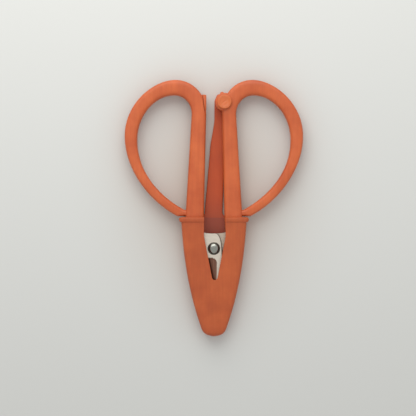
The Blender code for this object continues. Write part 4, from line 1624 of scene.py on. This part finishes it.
@dataclass
class Studio:
    """Pale floor, soft light and the camera straight above."""

    view_width: float = 162.2 * MM
    centre: tuple[float, float] = (-2.3 * MM, 0.0)
    camera_height: float = 620.0 * MM
    focus: float = 5.0 * MM         # level at which the view has its named width
    sensor: float = 36.0
    floor_half: float = 1.6
    floor_drop: float = 0.02 * MM
    window_place: tuple[float, float, float] = (-0.06, 0.32, 0.26)
    window_size: float = 0.4
    window_power: float = 1.15
    room_strength: float = 0.78

    def floor(self) -> None:
        """Lay the pale paper floor just under the shears."""
        mesh = bpy.data.meshes.new("paper_floor")
        corners = self.floor_half * np.array([(-1, -1, 0), (1, -1, 0), (1, 1, 0), (-1, 1, 0)], float)
        corners[:, 2] = -self.floor_drop
        mesh.from_pydata(corners.tolist(), [], [(0, 1, 2, 3)])
        ground = bpy.data.objects.new("paper_floor", mesh)
        bpy.context.scene.collection.objects.link(ground)
        mesh.materials.append(UncoatedPaper().material())

    def area(
        self, name: str, place: tuple[float, float, float], size: float, power: float, colour: str,
    ) -> None:
        """Hang one square soft light aimed at the shears.

        Args:
            name: Name of the light.
            place: Where it hangs, in metres.
            size: Side of its square face.
            power: Its power in watts.
            colour: Its colour as a hex code.
        """
        light = bpy.data.lights.new(name, "AREA")
        light.shape = "SQUARE"
        light.size = size
        light.energy = power
        light.color = linear(colour)[:3]
        lamp = bpy.data.objects.new(name, light)
        lamp.location = place
        aim = -np.asarray(place)
        flat = math.hypot(aim[0], aim[1])
        lamp.rotation_euler = (math.atan2(flat, -aim[2]), 0.0, math.atan2(aim[1], aim[0]) - math.pi / 2.0)
        bpy.context.scene.collection.objects.link(lamp)

    def build(self) -> None:
        """Set the floor, the lights, the world and the camera."""
        self.floor()
        self.area("window_light", self.window_place, self.window_size, self.window_power, "#FFFEFA")
        world = bpy.data.worlds.new("soft_room")
        world.use_nodes = True
        backdrop = world.node_tree.nodes["Background"]
        backdrop.inputs["Color"].default_value = linear("#FFFFFD")
        backdrop.inputs["Strength"].default_value = self.room_strength
        bpy.context.scene.world = world
        bpy.context.scene.view_settings.view_transform = "Standard"
        lens = bpy.data.cameras.new("top_camera")
        lens.sensor_width = self.sensor
        lens.lens = self.sensor * (self.camera_height - self.focus) / self.view_width
        lens.clip_start = 0.01
        camera = bpy.data.objects.new("top_camera", lens)
        camera.location = (self.centre[0], self.centre[1], self.camera_height)
        bpy.context.scene.collection.objects.link(camera)
        bpy.context.scene.camera = camera


def main() -> None:
    """Build the shears piece by piece, then the studio round them."""
    logging.basicConfig(level=logging.INFO, format="%(name)s %(message)s")
    layout = Layout.from_frame()
    shape = SheathShape(layout)
    palette = Palette()
    handle = palette.handle.material()
    sheath = palette.sheath.material()
    front = palette.front.material()
    rear = palette.rear.material()
    settle(Rivet(layout).build(), palette.rivet.material(), "pivot", ["pivot_rivet"])
    blade = Blade(layout, Side.LEFT, "blade_of_left_half")
    settle(blade.build(), front, "left_half", ["front_blade"])
    blade = Blade(layout, Side.RIGHT, "blade_of_right_half")
    settle(blade.build(), rear, "right_half", ["rear_blade"])
    left = Handle(
        layout, shape, Side.LEFT, "handle_with_pad", inset_top=2.98 * MM, inset_mouth=3.93 * MM,
        width_top=5.72 * MM, width_mouth=7.27 * MM,
    )
    settle(left.build(), handle, "left_half", ["left_handle"])
    right = Handle(layout, shape, Side.RIGHT, "handle_with_lug")
    settle(right.build(), handle, "right_half", ["right_handle"])
    settle(Button(layout).build(), palette.button.material(), "right_half", ["strap_button"])
    settle(Sheath(layout, shape).build(), sheath, "cover", ["sheath"])
    settle(Strap(layout).build(), palette.strap.material(), "cover", ["sheath_strap"])
    Studio().build()
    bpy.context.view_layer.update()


if __name__ == "__main__":
    main()
